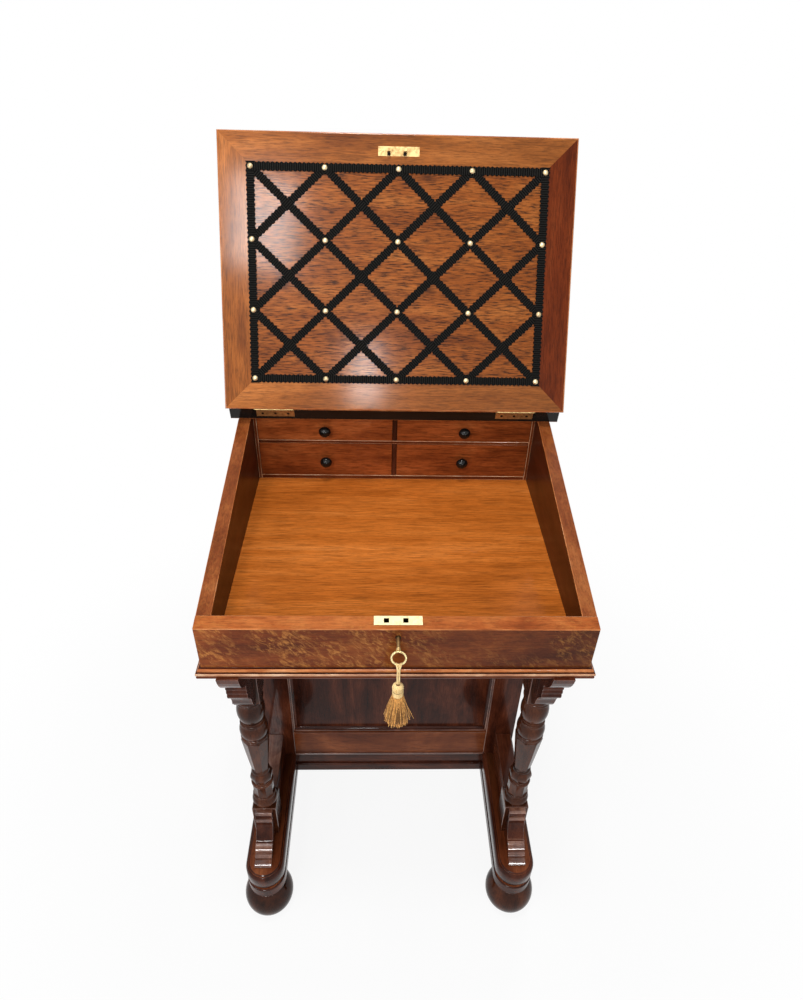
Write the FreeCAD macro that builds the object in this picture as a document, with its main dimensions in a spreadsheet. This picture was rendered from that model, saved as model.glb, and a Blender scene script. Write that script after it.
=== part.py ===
import FreeCAD
import Part
import os
import re
import Sketcher

# Davenport desk, in millimetres.  X runs to the sitter's right, Y to the back, Z up.
# The outlines below are written with Y counted from the front face of the writing box; every
# finished piece is then moved so that the origin lies on the floor, half way from front to back.

sizes = {
    # writing box
    "boxWidth": 530.0,
    "boxDepth": 550.0,
    "boxSide": 20.4,
    "boxFront": 21.0,
    "boxBack": 12.0,
    "frontHeight": 73.7,
    "slope": 11.24,
    "hingeReach": 402.0,
    "mouldHeight": 12.5,
    "mouldProud": 7.0,
    "floorLift": 13.3,
    "floorThick": 8.0,
    # fixed top behind the lid, and its gallery
    "topProud": 13.0,
    "topBackProud": 6.0,
    "galleryHeight": 72.0,
    "galleryInset": 6.0,
    "gallerySideGap": 52.0,
    "galleryRailWide": 16.0,
    "galleryRailThick": 11.0,
    "gallerySpindles": 13.0,
    # nest of small drawers
    "nestSet": 21.2,
    "nestEnd": 5.1,
    "nestBottom": 7.9,
    "nestShelf": 6.0,
    "nestTop": 5.6,
    "nestUpright": 7.0,
    "lowerDrawerHigh": 67.3,
    "smallFront": 12.0,
    "smallWall": 5.0,
    "smallFloor": 4.0,
    "smallDrop": 6.0,
    "smallBackGap": 6.0,
    "smallClear": 0.5,
    # lid, drawn flat: Y away from the hinge, Z from the outer face to the inner face
    "lidFrontProud": 15.5,
    "lidThick": 20.0,
    "lidProud": 15.0,
    "lidBorder": 45.0,
    "lidLean": 25.5,
    "lidRimGap": 0.4,
    "leatherThick": 1.6,
    "leatherSink": 0.4,
    "ribbonWide": 13.0,
    "ribbonThick": 1.2,
    "studSideSet": 50.4,
    "studEdge": 51.4,
    "studEndSet": 51.8,
    # butt hinges
    "hingeLong": 63.5,
    "hingeSet": 31.5,
    "leafThick": 1.2,
    "leafWide": 15.0,
    "knuckleRadius": 2.8,
    "pinRadius": 1.3,
    "pinClear": 0.05,
    "knuckleEndGap": 0.15,
    "leafGap": 0.15,
    "woodClear": 0.5,
    "edgeGap": 0.5,
    "restGap": 0.3,
    "screwRadius": 1.4,
    "screwHeadRadius": 2.6,
    "screwHeadHigh": 1.0,
    "screwLong": 11.0,
    # pedestal
    "pedestalInset": 15.0,
    "pedestalFront": 225.0,
    "pedestalRearSet": 10.0,
    "frameThick": 30.0,
    "stileWide": 55.8,
    "lowerRailHigh": 70.3,
    "upperRailHigh": 60.0,
    "panelSet": 11.0,
    "panelThick": 8.0,
    "beadWide": 7.0,
    "sideBoard": 18.0,
    "dummyThick": 6.0,
    "boardThick": 18.0,
    "dividerThick": 16.0,
    "drawerGrade": 11.0,
    "drawerFront": 18.0,
    "drawerWall": 9.0,
    "drawerFloor": 5.0,
    "drawerDrop": 10.0,
    "drawerRearGap": 24.0,
    "drawerKnobSpread": 110.0,
    "drawerClear": 0.6,
    "slideClear": 0.3,
    # runners, cross rails, feet and columns
    "footHeight": 74.7,
    "runnerHeight": 63.6,
    "runnerWide": 69.0,
    "runnerRearProud": 3.0,
    "runnerFront": 26.7,
    "runnerBand": 22.0,
    "runnerCove": 10.0,
    "runnerCoveDeep": 5.0,
    "crossThick": 24.0,
    "crossSet": 3.0,
    "footInset": 36.8,
    "footFront": 6.0,
    "footRearSet": 38.0,
    "columnHeight": 521.2,
    "columnOut": 1.3,
    "columnBlock": 43.0,
    "columnFront": 58.0,
    "baseBlockHigh": 81.8,
    "topBlockHigh": 142.0,
    # brackets
    "bracketWide": 30.0,
    "sideBoardHigh": 66.0,
    "toeReach": 6.5,
    "toeHigh": 6.0,
    "stepDeep": 8.0,
    "stepHigh": 7.7,
    "stepLip": 6.0,
    "scrollDeep": 10.0,
    "scrollLip": 4.0,
    "scrollHigh": 17.0,
    "corbelNose": 12.0,
    "corbelNoseHigh": 53.0,
    "corbelNoseRound": 5.0,
    "corbelFace": 21.5,
    "corbelFaceHigh": 30.0,
    "corbelTail": 57.5,
    "corbelFlare": 4.0,
    # lock, key and tassel
    "lockPlateLong": 64.0,
    "lockPlateWide": 14.0,
    "lockPlateThick": 1.6,
    "lockPlateCentre": 13.9,
    "lugHole": 7.0,
    "lugSize": 4.6,
    "lugLong": 10.0,
    "lugLeft": 15.5,
    "lugRight": 10.0,
    "lugEyeRadius": 1.5,
    "lugEyeDrop": 6.0,
    "lockCaseLong": 60.0,
    "lockCaseHigh": 40.0,
    "lockWall": 1.4,
    "lockSet": 7.0,
    "lockFit": 0.2,
    "keyDrop": 14.7,
    "keyShank": 2.2,
    "keyCollar": 3.1,
    "keyCollarLong": 6.0,
    "keyOut": 23.8,
    "keyIn": 14.6,
    "keyClear": 0.8,
    "bitHigh": 6.0,
    "bitWide": 3.0,
    "bitThick": 2.0,
    "ringRadius": 9.8,
    "ringWire": 1.5,
    "liningWall": 0.9,
    "boltHalf": 24.0,
    "boltThick": 1.9,
    "boltHigh": 12.0,
    "boltTongue": 5.0,
    "boltClear": 1.0,
    "boltTipGap": 0.6,
    "tongueRadius": 1.0,
    "cordRadius": 1.1,
    "cordSpread": 2.5,
    "cordDrop": 36.0,
}

# Turned work, from the bottom up: (name, height, radius at its end, radius at its middle).
# A height of None takes what the other members leave; a middle of None is a straight side, or
# part of a ball where the member closes on the axis, with an end of 0.
turnings = {
    "foot": (28.4, [
        ("Bun", None, 28.4, 44.5),
        ("Fillet", 2.2, 31.5, None),
        ("Neck", 4.5, 31.5, 29.8),
    ]),
    "column": (20.0, [
        ("BaseBead", 18.0, 18.4, 22.4),
        ("Quirk", 2.0, 17.4, None),
        ("LowRing", 7.0, 17.4, 20.0),
        ("Drum", 30.0, 17.2, 16.8),
        ("BrightRing", 7.0, 16.8, 19.4),
        ("CupFillet", 3.5, 16.0, None),
        ("Cup", 24.5, 15.0, 18.6),
        ("NeckBead", 7.0, 14.0, 15.8),
        ("NeckFillet", 2.0, 13.8, None),
        ("Vase", None, 22.2, 18.2),
        ("VaseTop", 4.0, 21.8, 22.9),
        ("UpperRing", 6.0, 21.0, 23.0),
        ("LowBulb", 27.0, 19.4, 23.4),
        ("BulbFillet", 3.0, 19.0, None),
        ("Ball", 56.0, 19.6, 23.0),
        ("BallFillet", 3.5, 20.0, None),
        ("TopRing", 8.0, 21.4, 22.8),
    ]),
    "smallKnob": (3.8, [
        ("Stem", 6.5, 3.8, 3.0),
        ("Underside", 3.0, 10.2, 7.6),
        ("Dome", 6.5, 0.0, None),
    ]),
    "drawerKnob": (5.0, [
        ("Stem", 8.0, 5.0, 4.0),
        ("Underside", 4.0, 12.0, 9.0),
        ("Dome", 8.0, 0.0, None),
    ]),
    "tassel": (14.0, [
        ("Hem", 8.0, 18.0, 16.8),
        ("Skirt", 42.0, 6.0, 12.6),
        ("LowKnot", 9.0, 6.2, 7.6),
        ("HighKnot", 8.0, 4.6, 7.4),
        ("Eye", 3.0, 3.4, 4.3),
    ]),
    "spindle": (3.6, [
        ("LowBead", 7.0, 3.4, 5.4),
        ("Swell", None, 3.4, 5.8),
        ("HighBead", 7.0, 3.6, 5.4),
    ]),
    "stud": (4.2, [
        ("Rim", 0.7, 4.2, None),
        ("Dome", 2.3, 0.0, None),
    ]),
}

# How many studs the letter rack has each way, and how many drawers the pedestal has.
columnCount, rowCount = 5, 4
drawerCount = 4

# Distances that follow from the sizes above.
rules = {
    "runnerTop": "footHeight + runnerHeight",
    "boxBase": "runnerTop + columnHeight",
    "boxFloor": "boxBase + mouldHeight",
    "frontTop": "boxFloor + frontHeight",
    "backTop": "frontTop + hingeReach * tan(slope)",
    "topTop": "backTop + lidThick / cos(slope) + lidRimGap",
    "boxHalf": "boxWidth / 2",
    "boxInner": "boxHalf - boxSide",
    "boxRear": "boxDepth - boxBack",
    "wellTop": "boxFloor + floorLift + floorThick",
    "lidHalf": "boxHalf + lidProud",
    "lidLength": "(hingeReach + lidFrontProud) / cos(slope)",
    "lidInner": "lidHalf - lidBorder",
    "studColumnPitch": f"2 * (lidHalf - studSideSet) / {columnCount - 1}",
    "studRowPitch": f"(lidLength - studEdge - studEndSet) / {rowCount - 1}",
    "hingeInner": "boxHalf - hingeSet - hingeLong",
    "topHalf": "boxHalf + topProud",
    "topRear": "boxDepth + topBackProud",
    "keyFront": "keyOut + 2 * ringRadius + ringWire",
    "lidReach": "hingeReach + lidLength * sin(lidLean)",
    "originBack": "(lidReach - keyFront) / 2",
    "runnerBack": "boxDepth + runnerRearProud",
    "footBack": "runnerBack - footRearSet",
    "runnerX": "boxHalf - footInset",
    "runnerHalf": "runnerWide / 2",
    "columnX": "runnerX + columnOut",
    "columnY": "columnFront + columnBlock / 2",
    "pedestalBack": "boxDepth - pedestalRearSet",
    "pedestalHalf": "boxHalf - pedestalInset",
    "drawerLong": "2 * pedestalHalf - dummyThick - sideBoard - drawerRearGap",
    "openingHalf": "pedestalHalf - stileWide",
    "baySill": "runnerTop + boardThick",
    "bayFront": "pedestalFront + frameThick",
    "bayBack": "pedestalBack - frameThick",
    "bayLeft": "-pedestalHalf + dummyThick + sideBoard",
    "bayHigh": "boxBase - boardThick - baySill",
    "topDrawerHigh": "(bayHigh - 3 * dividerThick - 6 * drawerGrade) / 4",
    "nestFront": "hingeReach + nestSet",
    "nestFloor": "wellTop + nestBottom",
    "nestShelfLow": "nestFloor + lowerDrawerHigh",
    "nestShelfTop": "nestShelfLow + nestShelf",
    "nestCeiling": "backTop - nestTop",
    "nestHalf": "boxInner - nestEnd",
    "nestMid": "nestUpright / 2",
    "keyZ": "frontTop - keyDrop",
    "keyBore": "keyShank + keyClear",
    "ringY": "-keyOut - ringRadius",
    "ringTip": "-keyOut - 2 * ringRadius",
    "caseFront": "lockSet",
    "caseBack": "boxFront - lockFit",
    "caseLow": "frontTop - lockCaseHigh",
    "tasselY": "ringTip - ringWire - cordRadius - 0.4",
    "tasselTop": "keyZ - cordDrop",
    "tasselHigh": "tasselHemHigh + tasselSkirtHigh + tasselLowKnotHigh + tasselHighKnotHigh + tasselEyeHigh",
    "rimDrop": "lidThick + lidRimGap * cos(slope)",
    "linkCentre": "(hingeReach - lockPlateCentre) / cos(slope) + rimDrop * tan(slope)",
    "galleryTop": "topTop + galleryHeight",
}

# Every member of a turning puts its sizes on the sheet under a name of its own.
for turning, (start, members) in turnings.items():
    sizes[turning + "Start"] = start
    for member, height, end, middle in members:
        if height is not None:
            sizes[turning + member + "High"] = height
        if end:
            sizes[turning + member + "End"] = end
        if middle is not None:
            sizes[turning + member + "Middle"] = middle

# The four side drawers, counted from the top, each deeper than the one above it.
drawerNumbers = range(1, drawerCount + 1)
for number in drawerNumbers:
    rules[f"bayHigh{number}"] = f"topDrawerHigh + {number - 1} * drawerGrade"
    if number == 1:
        rules["bayTop1"] = "boxBase - boardThick"
    else:
        rules[f"bayTop{number}"] = f"bayLow{number - 1} - dividerThick"
    rules[f"bayLow{number}"] = f"bayTop{number} - bayHigh{number}"

doc = FreeCAD.newDocument("davenport")
sheet = doc.addObject("Spreadsheet::Sheet", "Sizes")
for line, (alias, number) in enumerate(sizes.items(), 1):
    sheet.set(f"A{line}", alias)
    sheet.set(f"B{line}", str(number))
    sheet.setAlias(f"B{line}", alias)
doc.recompute()

nodes = []
flatAlong = {"XY_Plane": "z", "XZ_Plane": "y", "YZ_Plane": "x"}
acrossX = FreeCAD.Vector(1, 0, 0)
acrossY = FreeCAD.Vector(0, 1, 0)
upZ = FreeCAD.Vector(0, 0, 1)


def rule(text):
    """Spell an expression out in terms of the sheet's cells."""
    def spell(match):
        word = match.group()
        if word in rules:
            return "(" + rule(rules[word]) + ")"
        return "Sizes." + word if word in sizes else word
    return re.sub(r"[A-Za-z]\w*", spell, str(text))


def amount(text):
    """The number that an expression gives now."""
    return float(sheet.evalExpression(rule(text)))


def seat(thing, x="0", y="0", z="0"):
    for letter, text in (("x", x), ("y", y), ("z", z)):
        if str(text) != "0":
            thing.setExpression("Placement.Base." + letter, rule(text))
    return thing


def box(name, x, y, z):
    """A board between two expressions on each axis."""
    thing = doc.addObject("Part::Box", name)
    for side, (low, high) in (("Length", x), ("Width", y), ("Height", z)):
        thing.setExpression(side, rule(f"({high}) - ({low})"))
    return seat(thing, x[0], y[0], z[0])


def rod(name, radius, length, at, axis=upZ, angle=0.0):
    thing = doc.addObject("Part::Cylinder", name)
    thing.setExpression("Radius", rule(radius))
    thing.setExpression("Height", rule(length))
    thing.Placement = FreeCAD.Placement(FreeCAD.Vector(), FreeCAD.Rotation(axis, angle))
    return seat(thing, *at)


def together(name, things):
    thing = doc.addObject("Part::Compound", name)
    thing.Links = list(things)
    return thing


def fused(name, things):
    thing = doc.addObject("Part::MultiFuse", name)
    thing.Shapes = list(things)
    return thing


def cutFrom(name, base, tools):
    thing = doc.addObject("Part::Cut", name)
    thing.Base = base
    thing.Tool = tools[0] if len(tools) == 1 else fused(name + "Tools", tools)
    return thing


def put(name, thing, at=("0", "0", "0"), axis=upZ, angle=0.0, lean=None):
    """A copy of a thing, turned about an axis and set down at a point."""
    copy = together(name, [thing])
    copy.Placement = FreeCAD.Placement(FreeCAD.Vector(), FreeCAD.Rotation(axis, angle or 1.0))
    if lean is not None:
        copy.setExpression("Placement.Rotation.Angle", rule(lean))
    elif not angle:
        copy.Placement = FreeCAD.Placement()
    return seat(copy, *at)


def mirrored(name, thing, normal=acrossX):
    copy = doc.addObject("Part::Mirroring", name)
    copy.Source = thing
    copy.Normal = normal
    return copy


def node(label, things):
    """A finished sub-part: the group moves from the box's front face to the part's own origin."""
    thing = together(label, things)
    thing.Label = label
    seat(thing, y="-originBack")
    nodes.append(thing)
    return thing


def drawOutline(body, name, plane, outline):
    """A closed outline; a pair is a corner, four numbers are an arc's middle and its end."""
    sketch = body.newObject("Sketcher::SketchObject", name)
    origin = next(o for o in body.Origin.OriginFeatures if o.Role == plane)
    sketch.AttachmentSupport = (origin, "")
    sketch.MapMode = "FlatFace"
    steps = list(outline) + [outline[0][-2:]]
    points = [FreeCAD.Vector(amount(step[-2]), amount(step[-1]), 0) for step in steps]
    marks, ends = [], []
    for number, step in enumerate(steps[1:]):
        start, end = points[number], points[number + 1]
        forward = True
        if len(step) == 2:
            if (end - start).Length < 1e-6:
                continue
            edge = sketch.addGeometry(Part.LineSegment(start, end))
        else:
            # A sketch counts every arc anticlockwise, so one that runs the other way is turned round.
            middle = FreeCAD.Vector(amount(step[0]), amount(step[1]), 0)
            forward = (middle - start).cross(end - start).z > 0
            sweep = (start, middle, end) if forward else (end, middle, start)
            edge = sketch.addGeometry(Part.Arc(*sweep))
            dot = sketch.addGeometry(Part.Point(middle), True)
            marks.append((dot, 1, step[0], step[1]))
            sketch.addConstraint(Sketcher.Constraint("PointOnObject", dot, 1, edge))
        near, far = ((edge, 1), (edge, 2)) if forward else ((edge, 2), (edge, 1))
        marks.append((*near, steps[number][-2], steps[number][-1]))
        if ends:
            sketch.addConstraint(Sketcher.Constraint("Coincident", *ends[-1], *near))
        ends += [near, far]
    sketch.addConstraint(Sketcher.Constraint("Coincident", *ends[-1], *ends[0]))
    for edge, corner, across, up in marks:
        for kind, text in (("DistanceX", across), ("DistanceY", up)):
            held = sketch.addConstraint(Sketcher.Constraint(kind, -1, 1, edge, corner, amount(text)))
            sketch.setExpression(f"Constraints[{held}]", rule(text))
    return sketch


def slab(name, plane, outline, low, high):
    """An outline drawn on one of the main planes and carried from low to high across it."""
    body = doc.addObject("PartDesign::Body", name)
    sketch = drawOutline(body, name + "Outline", plane, outline)
    pad = body.newObject("PartDesign::Pad", name + "Pad")
    pad.Profile = sketch
    pad.setExpression("Length", rule(f"({high}) - ({low})"))
    pad.Reversed = plane == "XZ_Plane"
    return seat(body, **{flatAlong[plane]: low})


def lathe(name, turning, total="0"):
    """A turned piece standing on Z = 0, from its list of members."""
    start, members = turnings[turning]
    known = [turning + m[0] + "High" for m in members if m[1] is not None]
    rest = "(" + total + ") - (" + " + ".join(known) + ")"
    outline = [("0", "0"), (turning + "Start", "0")]
    low = "0"
    for member, height, end, middle in members:
        rise = turning + member + "High" if height is not None else rest
        half, high = f"{low} + ({rise}) / 2", f"{low} + {rise}"
        if not end:
            outline.append((f"sqrt(({outline[-1][-2]}) ^ 2 / 2 + ({rise}) ^ 2 / 4)", half, "0", high))
        elif middle is None:
            outline.append((outline[-1][-2], high))
            outline.append((turning + member + "End", high))
        else:
            outline.append((turning + member + "Middle", half, turning + member + "End", high))
        low = high
    if members[-1][2]:
        outline.append(("0", low))
    body = doc.addObject("PartDesign::Body", name)
    sketch = drawOutline(body, name + "Outline", "XZ_Plane", outline)
    turn = body.newObject("PartDesign::Revolution", name + "Turn")
    turn.Profile = sketch
    turn.ReferenceAxis = (sketch, ["V_Axis"])
    turn.Angle = 360.0
    return body


def stadium(centre, half, front, back):
    """A long outline with half-round ends, on X and Y."""
    return [
        (f"{centre} - ({half})", back),
        (f"{centre} - ({half})", front),
        (centre, f"{front} - ({half})", f"{centre} + ({half})", front),
        (f"{centre} + ({half})", back),
        (centre, f"{back} + ({half})", f"{centre} - ({half})", back),
    ]


def mitredFrame(name, half, near, far, width, low, high):
    """Four mitred pieces round a rectangle, drawn flat on X and Y."""
    inner, nearIn, farIn = f"({half}) - ({width})", f"({near}) + ({width})", f"({far}) - ({width})"
    corners = {
        "Near": [(f"-({half})", near), (half, near), (inner, nearIn), (f"-({inner})", nearIn)],
        "Far": [(f"-({half})", far), (half, far), (inner, farIn), (f"-({inner})", farIn)],
        "Left": [(f"-({half})", near), (f"-({inner})", nearIn), (f"-({inner})", farIn), (f"-({half})", far)],
        "Right": [(half, near), (inner, nearIn), (inner, farIn), (half, far)],
    }
    return {side: slab(name + side, "XY_Plane", outline, low, high) for side, outline in corners.items()}


# ---- runners, cross rails and feet
foot = lathe("footTurning", "foot", "footHeight")
feet = []
for side, sign in (("Left", "-"), ("Right", "")):
    for end, reach in (("Front", "footFront"), ("Back", "footBack")):
        feet.append(put(f"foot{end}{side}", foot, (sign + "runnerX", reach)))
node("bun_feet", feet)

runnerLayers = (
    ("Band", "0", "footHeight", "footHeight + runnerBand"),
    ("Cove", "runnerCoveDeep", "footHeight + runnerBand", "footHeight + runnerBand + runnerCove"),
    ("Top", "0", "footHeight + runnerBand + runnerCove", "runnerTop"),
)
for side, sign in (("left", "-"), ("right", "")):
    layers = []
    for layer, inset, low, high in runnerLayers:
        outline = stadium(sign + "runnerX", f"runnerHalf - {inset}",
                          "runnerHalf - runnerFront", "runnerBack - runnerHalf")
        layers.append(slab(f"{side}Runner{layer}", "XY_Plane", outline, low, high))
    node("runner_" + side, [fused(f"{side}Runner", layers)])

crossEnds = ("-(runnerX - runnerHalf)", "runnerX - runnerHalf")
node("cross_rails", [
    box("crossRailFront", crossEnds, ("pedestalFront + crossSet", "pedestalFront + crossSet + crossThick"),
        ("footHeight", "runnerTop")),
    box("crossRailBack", crossEnds, ("pedestalBack - crossSet - crossThick", "pedestalBack - crossSet"),
        ("footHeight", "runnerTop")),
])

# ---- columns: a turned shaft between two square blocks
blockHalf = "columnBlock / 2"
for side, sign in (("left", "-"), ("right", "")):
    across = (f"{sign}columnX - {blockHalf}", f"{sign}columnX + {blockHalf}")
    along = (f"columnY - {blockHalf}", f"columnY + {blockHalf}")
    shaftHigh = "columnHeight - baseBlockHigh - topBlockHigh"
    shaft = put(side + "Shaft", lathe(side + "ColumnTurning", "column", shaftHigh),
                (sign + "columnX", "columnY", "runnerTop + baseBlockHigh"))
    node("column_" + side, [fused(side + "Column", [
        box(side + "ColumnBase", across, along, ("runnerTop", "runnerTop + baseBlockHigh")),
        shaft,
        box(side + "ColumnHead", across, along, ("boxBase - topBlockHigh", "boxBase")),
    ])])

# ---- brackets: a stepped scroll with a toe on the runner, and a corbel under the box
scrollTop = "(runnerTop + baseBlockHigh)"
stepTop = "(runnerTop + toeHigh + stepHigh)"
hollowNear, hollowFar = "2 * stepDeep", "(columnFront - scrollDeep - scrollLip)"
hollowLow, hollowHigh = f"({stepTop} + stepLip)", f"({scrollTop} - scrollHigh)"
toeOutline = [
    ("columnFront", "runnerTop"),
    ("-toeReach", "runnerTop"),
    ("-toeReach * 0.7", "runnerTop + toeHigh * 0.7", "0", "runnerTop + toeHigh"),
    ("stepDeep", "runnerTop + toeHigh"),
    ("stepDeep", stepTop),
    (hollowNear, stepTop),
    (hollowNear, hollowLow),
    (f"{hollowNear} + 0.7 * ({hollowFar} - {hollowNear})", f"{hollowLow} + 0.3 * ({hollowHigh} - {hollowLow})",
     hollowFar, hollowHigh),
    ("columnFront - scrollDeep", hollowHigh),
    ("columnFront - scrollDeep", scrollTop),
    ("columnFront", scrollTop),
]
corbelOutline = [
    ("columnFront", "boxBase"),
    ("-corbelNose", "boxBase"),
    ("(corbelFace - corbelNose) / 2 - corbelNoseRound", "boxBase - corbelNoseHigh / 2 - corbelNoseRound / 2",
     "corbelFace", "boxBase - corbelNoseHigh"),
    ("corbelFace", "boxBase - corbelNoseHigh - corbelFaceHigh"),
    ("(columnFront + corbelFace) / 2 - corbelFlare",
     "boxBase - corbelNoseHigh - corbelFaceHigh - corbelTail * 0.3",
     "(columnFront + corbelFace) / 2", "boxBase - corbelNoseHigh - corbelFaceHigh - corbelTail / 2"),
    ("(columnFront + corbelFace) / 2 + corbelFlare",
     "boxBase - corbelNoseHigh - corbelFaceHigh - corbelTail * 0.7",
     "columnFront", "boxBase - corbelNoseHigh - corbelFaceHigh - corbelTail"),
]
toes, corbels = [], []
for side, sign in (("left", "-"), ("right", "")):
    across = (f"{sign}columnX - bracketWide / 2", f"{sign}columnX + bracketWide / 2")
    toes.append(slab(side + "Toe", "YZ_Plane", toeOutline, *across))
    toes.append(box(side + "SideBoard", across, ("columnFront + columnBlock", "pedestalFront"),
                    ("runnerTop", "runnerTop + sideBoardHigh")))
    corbels.append(slab(side + "Corbel", "YZ_Plane", corbelOutline, *across))
node("lower_brackets", toes)
node("upper_brackets", corbels)

# ---- pedestal
upright = ("runnerTop", "boxBase")
for end, near, far, panelNear, beadNear in (
        ("front", "pedestalFront", "pedestalFront + frameThick",
         "pedestalFront + panelSet", "pedestalFront + panelSet - beadWide"),
        ("back", "pedestalBack - frameThick", "pedestalBack",
         "pedestalBack - panelSet - panelThick", None)):
    thick = (near, far)
    opening = ("-openingHalf", "openingHalf")
    node(f"pedestal_{end}_frame", [
        box(end + "StileLeft", ("-pedestalHalf", "-openingHalf"), thick, upright),
        box(end + "StileRight", ("openingHalf", "pedestalHalf"), thick, upright),
        box(end + "RailLow", opening, thick, ("runnerTop", "runnerTop + lowerRailHigh")),
        box(end + "RailHigh", opening, thick, ("boxBase - upperRailHigh", "boxBase")),
    ])
    node(f"pedestal_{end}_panel", [
        box(end + "Panel", opening, (panelNear, panelNear + " + panelThick"),
            ("runnerTop + lowerRailHigh", "boxBase - upperRailHigh")),
    ])
    if beadNear:
        low, high = "runnerTop + lowerRailHigh", "boxBase - upperRailHigh"
        bead = mitredFrame("panelBead", "openingHalf", low, high, "beadWide", "0", "beadWide")
        lifted = [put("panelBeadUp" + side, piece, ("0", f"{beadNear} + beadWide", "0"), acrossX, 90.0)
                  for side, piece in bead.items()]
        node("pedestal_panel_bead", lifted)

bay = ("bayFront", "bayBack")
dummyDeep = ("-pedestalHalf", "-pedestalHalf + dummyThick")
dummyBays, dummyFronts = [], []
for number in drawerNumbers:
    low, high = f"bayLow{number}", f"bayTop{number}"
    dummyBays.append(box(f"dummyBay{number}", dummyDeep, bay, (low, high)))
    dummyFronts.append(box(f"dummyFront{number}", dummyDeep,
                           ("bayFront + drawerClear", "bayBack - drawerClear"),
                           (low + " + drawerClear", high + " - drawerClear")))
sideBoard = box("leftSideBoard", ("-pedestalHalf", "bayLeft"), bay, upright)
node("pedestal_left_side", [cutFrom("leftSide", sideBoard, dummyBays)])
node("dummy_drawer_fronts", dummyFronts)

boards = [
    box("bayBottomBoard", ("bayLeft", "pedestalHalf"), bay, ("runnerTop", "baySill")),
    box("bayTopBoard", ("bayLeft", "pedestalHalf"), bay, ("boxBase - boardThick", "boxBase")),
]
for number in drawerNumbers[1:]:
    boards.append(box(f"bayDivider{number}", ("bayLeft", "pedestalHalf"), bay,
                      (f"bayTop{number}", f"bayTop{number} + dividerThick")))
node("drawer_boards", boards)

knob = lathe("drawerKnobTurning", "drawerKnob")
bayMiddle = "(bayFront + bayBack) / 2"
knobReaches = (("Front", f"{bayMiddle} - drawerKnobSpread / 2"),
               ("Back", f"{bayMiddle} + drawerKnobSpread / 2"))
dummyKnobs = []
for number in drawerNumbers:
    low, high = f"bayLow{number}", f"bayTop{number}"
    tray = (low + " + slideClear", high + " - drawerDrop")
    inner = ("bayFront + drawerClear + drawerWall", "bayBack - drawerClear - drawerWall")
    back = "pedestalHalf - drawerLong"
    behind = "pedestalHalf - drawerFront"
    name = f"side_drawer_{number}"
    node(name, [
        box(f"drawer{number}Front", (behind, "pedestalHalf"),
            ("bayFront + drawerClear", "bayBack - drawerClear"),
            (low + " + drawerClear", high + " - drawerClear")),
        box(f"drawer{number}Near", (back, behind), ("bayFront + drawerClear", inner[0]), tray),
        box(f"drawer{number}Far", (back, behind), (inner[1], "bayBack - drawerClear"), tray),
        box(f"drawer{number}End", (back, back + " + drawerWall"), inner, tray),
        box(f"drawer{number}Floor", (back + " + drawerWall", behind), inner,
            (tray[0], tray[0] + " + drawerFloor")),
    ])
    middle = f"({low} + {high}) / 2"
    knobs = [put(f"drawer{number}Knob{end}", knob, ("pedestalHalf", reach, middle), acrossY, 90.0)
             for end, reach in knobReaches]
    node(name + "_knobs", knobs)
    dummyKnobs += [put(f"dummy{number}Knob{end}", knob, ("-pedestalHalf", reach, middle), acrossY, -90.0)
                   for end, reach in knobReaches]
node("dummy_knobs", dummyKnobs)

# ---- writing box
mouldHalf = "boxHalf + mouldProud"
mouldHigh = ("boxBase", "boxFloor")
node("box_bottom", [box("boxBottomBoard", ("-boxHalf", "boxHalf"), ("0", "boxDepth"), mouldHigh)])
mouldFront = [
    (f"-({mouldHalf})", "-mouldProud"),
    (mouldHalf, "-mouldProud"),
    ("boxHalf", "0"),
    ("-boxHalf", "0"),
]
mouldSide = [
    (mouldHalf, "-mouldProud"),
    ("boxHalf", "0"),
    ("boxHalf", "boxDepth"),
    (mouldHalf, "boxDepth"),
]
mouldRight = slab("mouldRight", "XY_Plane", mouldSide, *mouldHigh)
node("box_moulding", [
    slab("mouldFront", "XY_Plane", mouldFront, *mouldHigh),
    mouldRight,
    mirrored("mouldLeft", mouldRight),
])

rim = "frontTop + ({}) * tan(slope)"
sideOutline = [
    ("boxFront", "boxFloor"),
    ("boxDepth", "boxFloor"),
    ("boxDepth", "backTop"),
    ("hingeReach", "backTop"),
    ("boxFront", rim.format("boxFront")),
]
boxSideRight = slab("boxSideRight", "YZ_Plane", sideOutline, "boxInner", "boxHalf")
node("box_side_right", [boxSideRight])
node("box_side_left", [mirrored("boxSideLeft", boxSideRight)])
node("box_back", [box("boxBackBoard", ("-boxInner", "boxInner"), ("boxRear", "boxDepth"),
                      ("boxFloor", "backTop"))])
node("well_floor", [box("wellFloorBoard", ("-boxInner", "boxInner"), ("boxFront", "boxRear"),
                        ("boxFloor + floorLift", "wellTop"))])

# The lock plate lies in the sloped rim, so it is drawn flat and leaned back with the rim.
plateHalf = "lockPlateLong / 2"
plateNear = "lockPlateCentre / cos(slope) - lockPlateWide / 2"
plateFar = "lockPlateCentre / cos(slope) + lockPlateWide / 2"
lugs = (("Left", "-lugLeft"), ("Right", "lugRight"))


def onRim(name, thing):
    return put(name, thing, ("0", "0", "frontTop"), acrossX, lean="slope")


lugMiddle = "lockPlateCentre / cos(slope)"
plateHoles = [box("plateHole" + end, (f"{x} - lugHole / 2", f"{x} + lugHole / 2"),
                  (f"{lugMiddle} - lugHole / 2", f"{lugMiddle} + lugHole / 2"),
                  ("-lockPlateThick", "0")) for end, x in lugs]
plateBlank = box("plateBlank", (f"-({plateHalf})", plateHalf), (plateNear, plateFar),
                 ("-lockPlateThick", "0"))
node("lock_plate", [onRim("plateLeaned", cutFrom("plateCut", plateBlank, plateHoles))])

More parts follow.
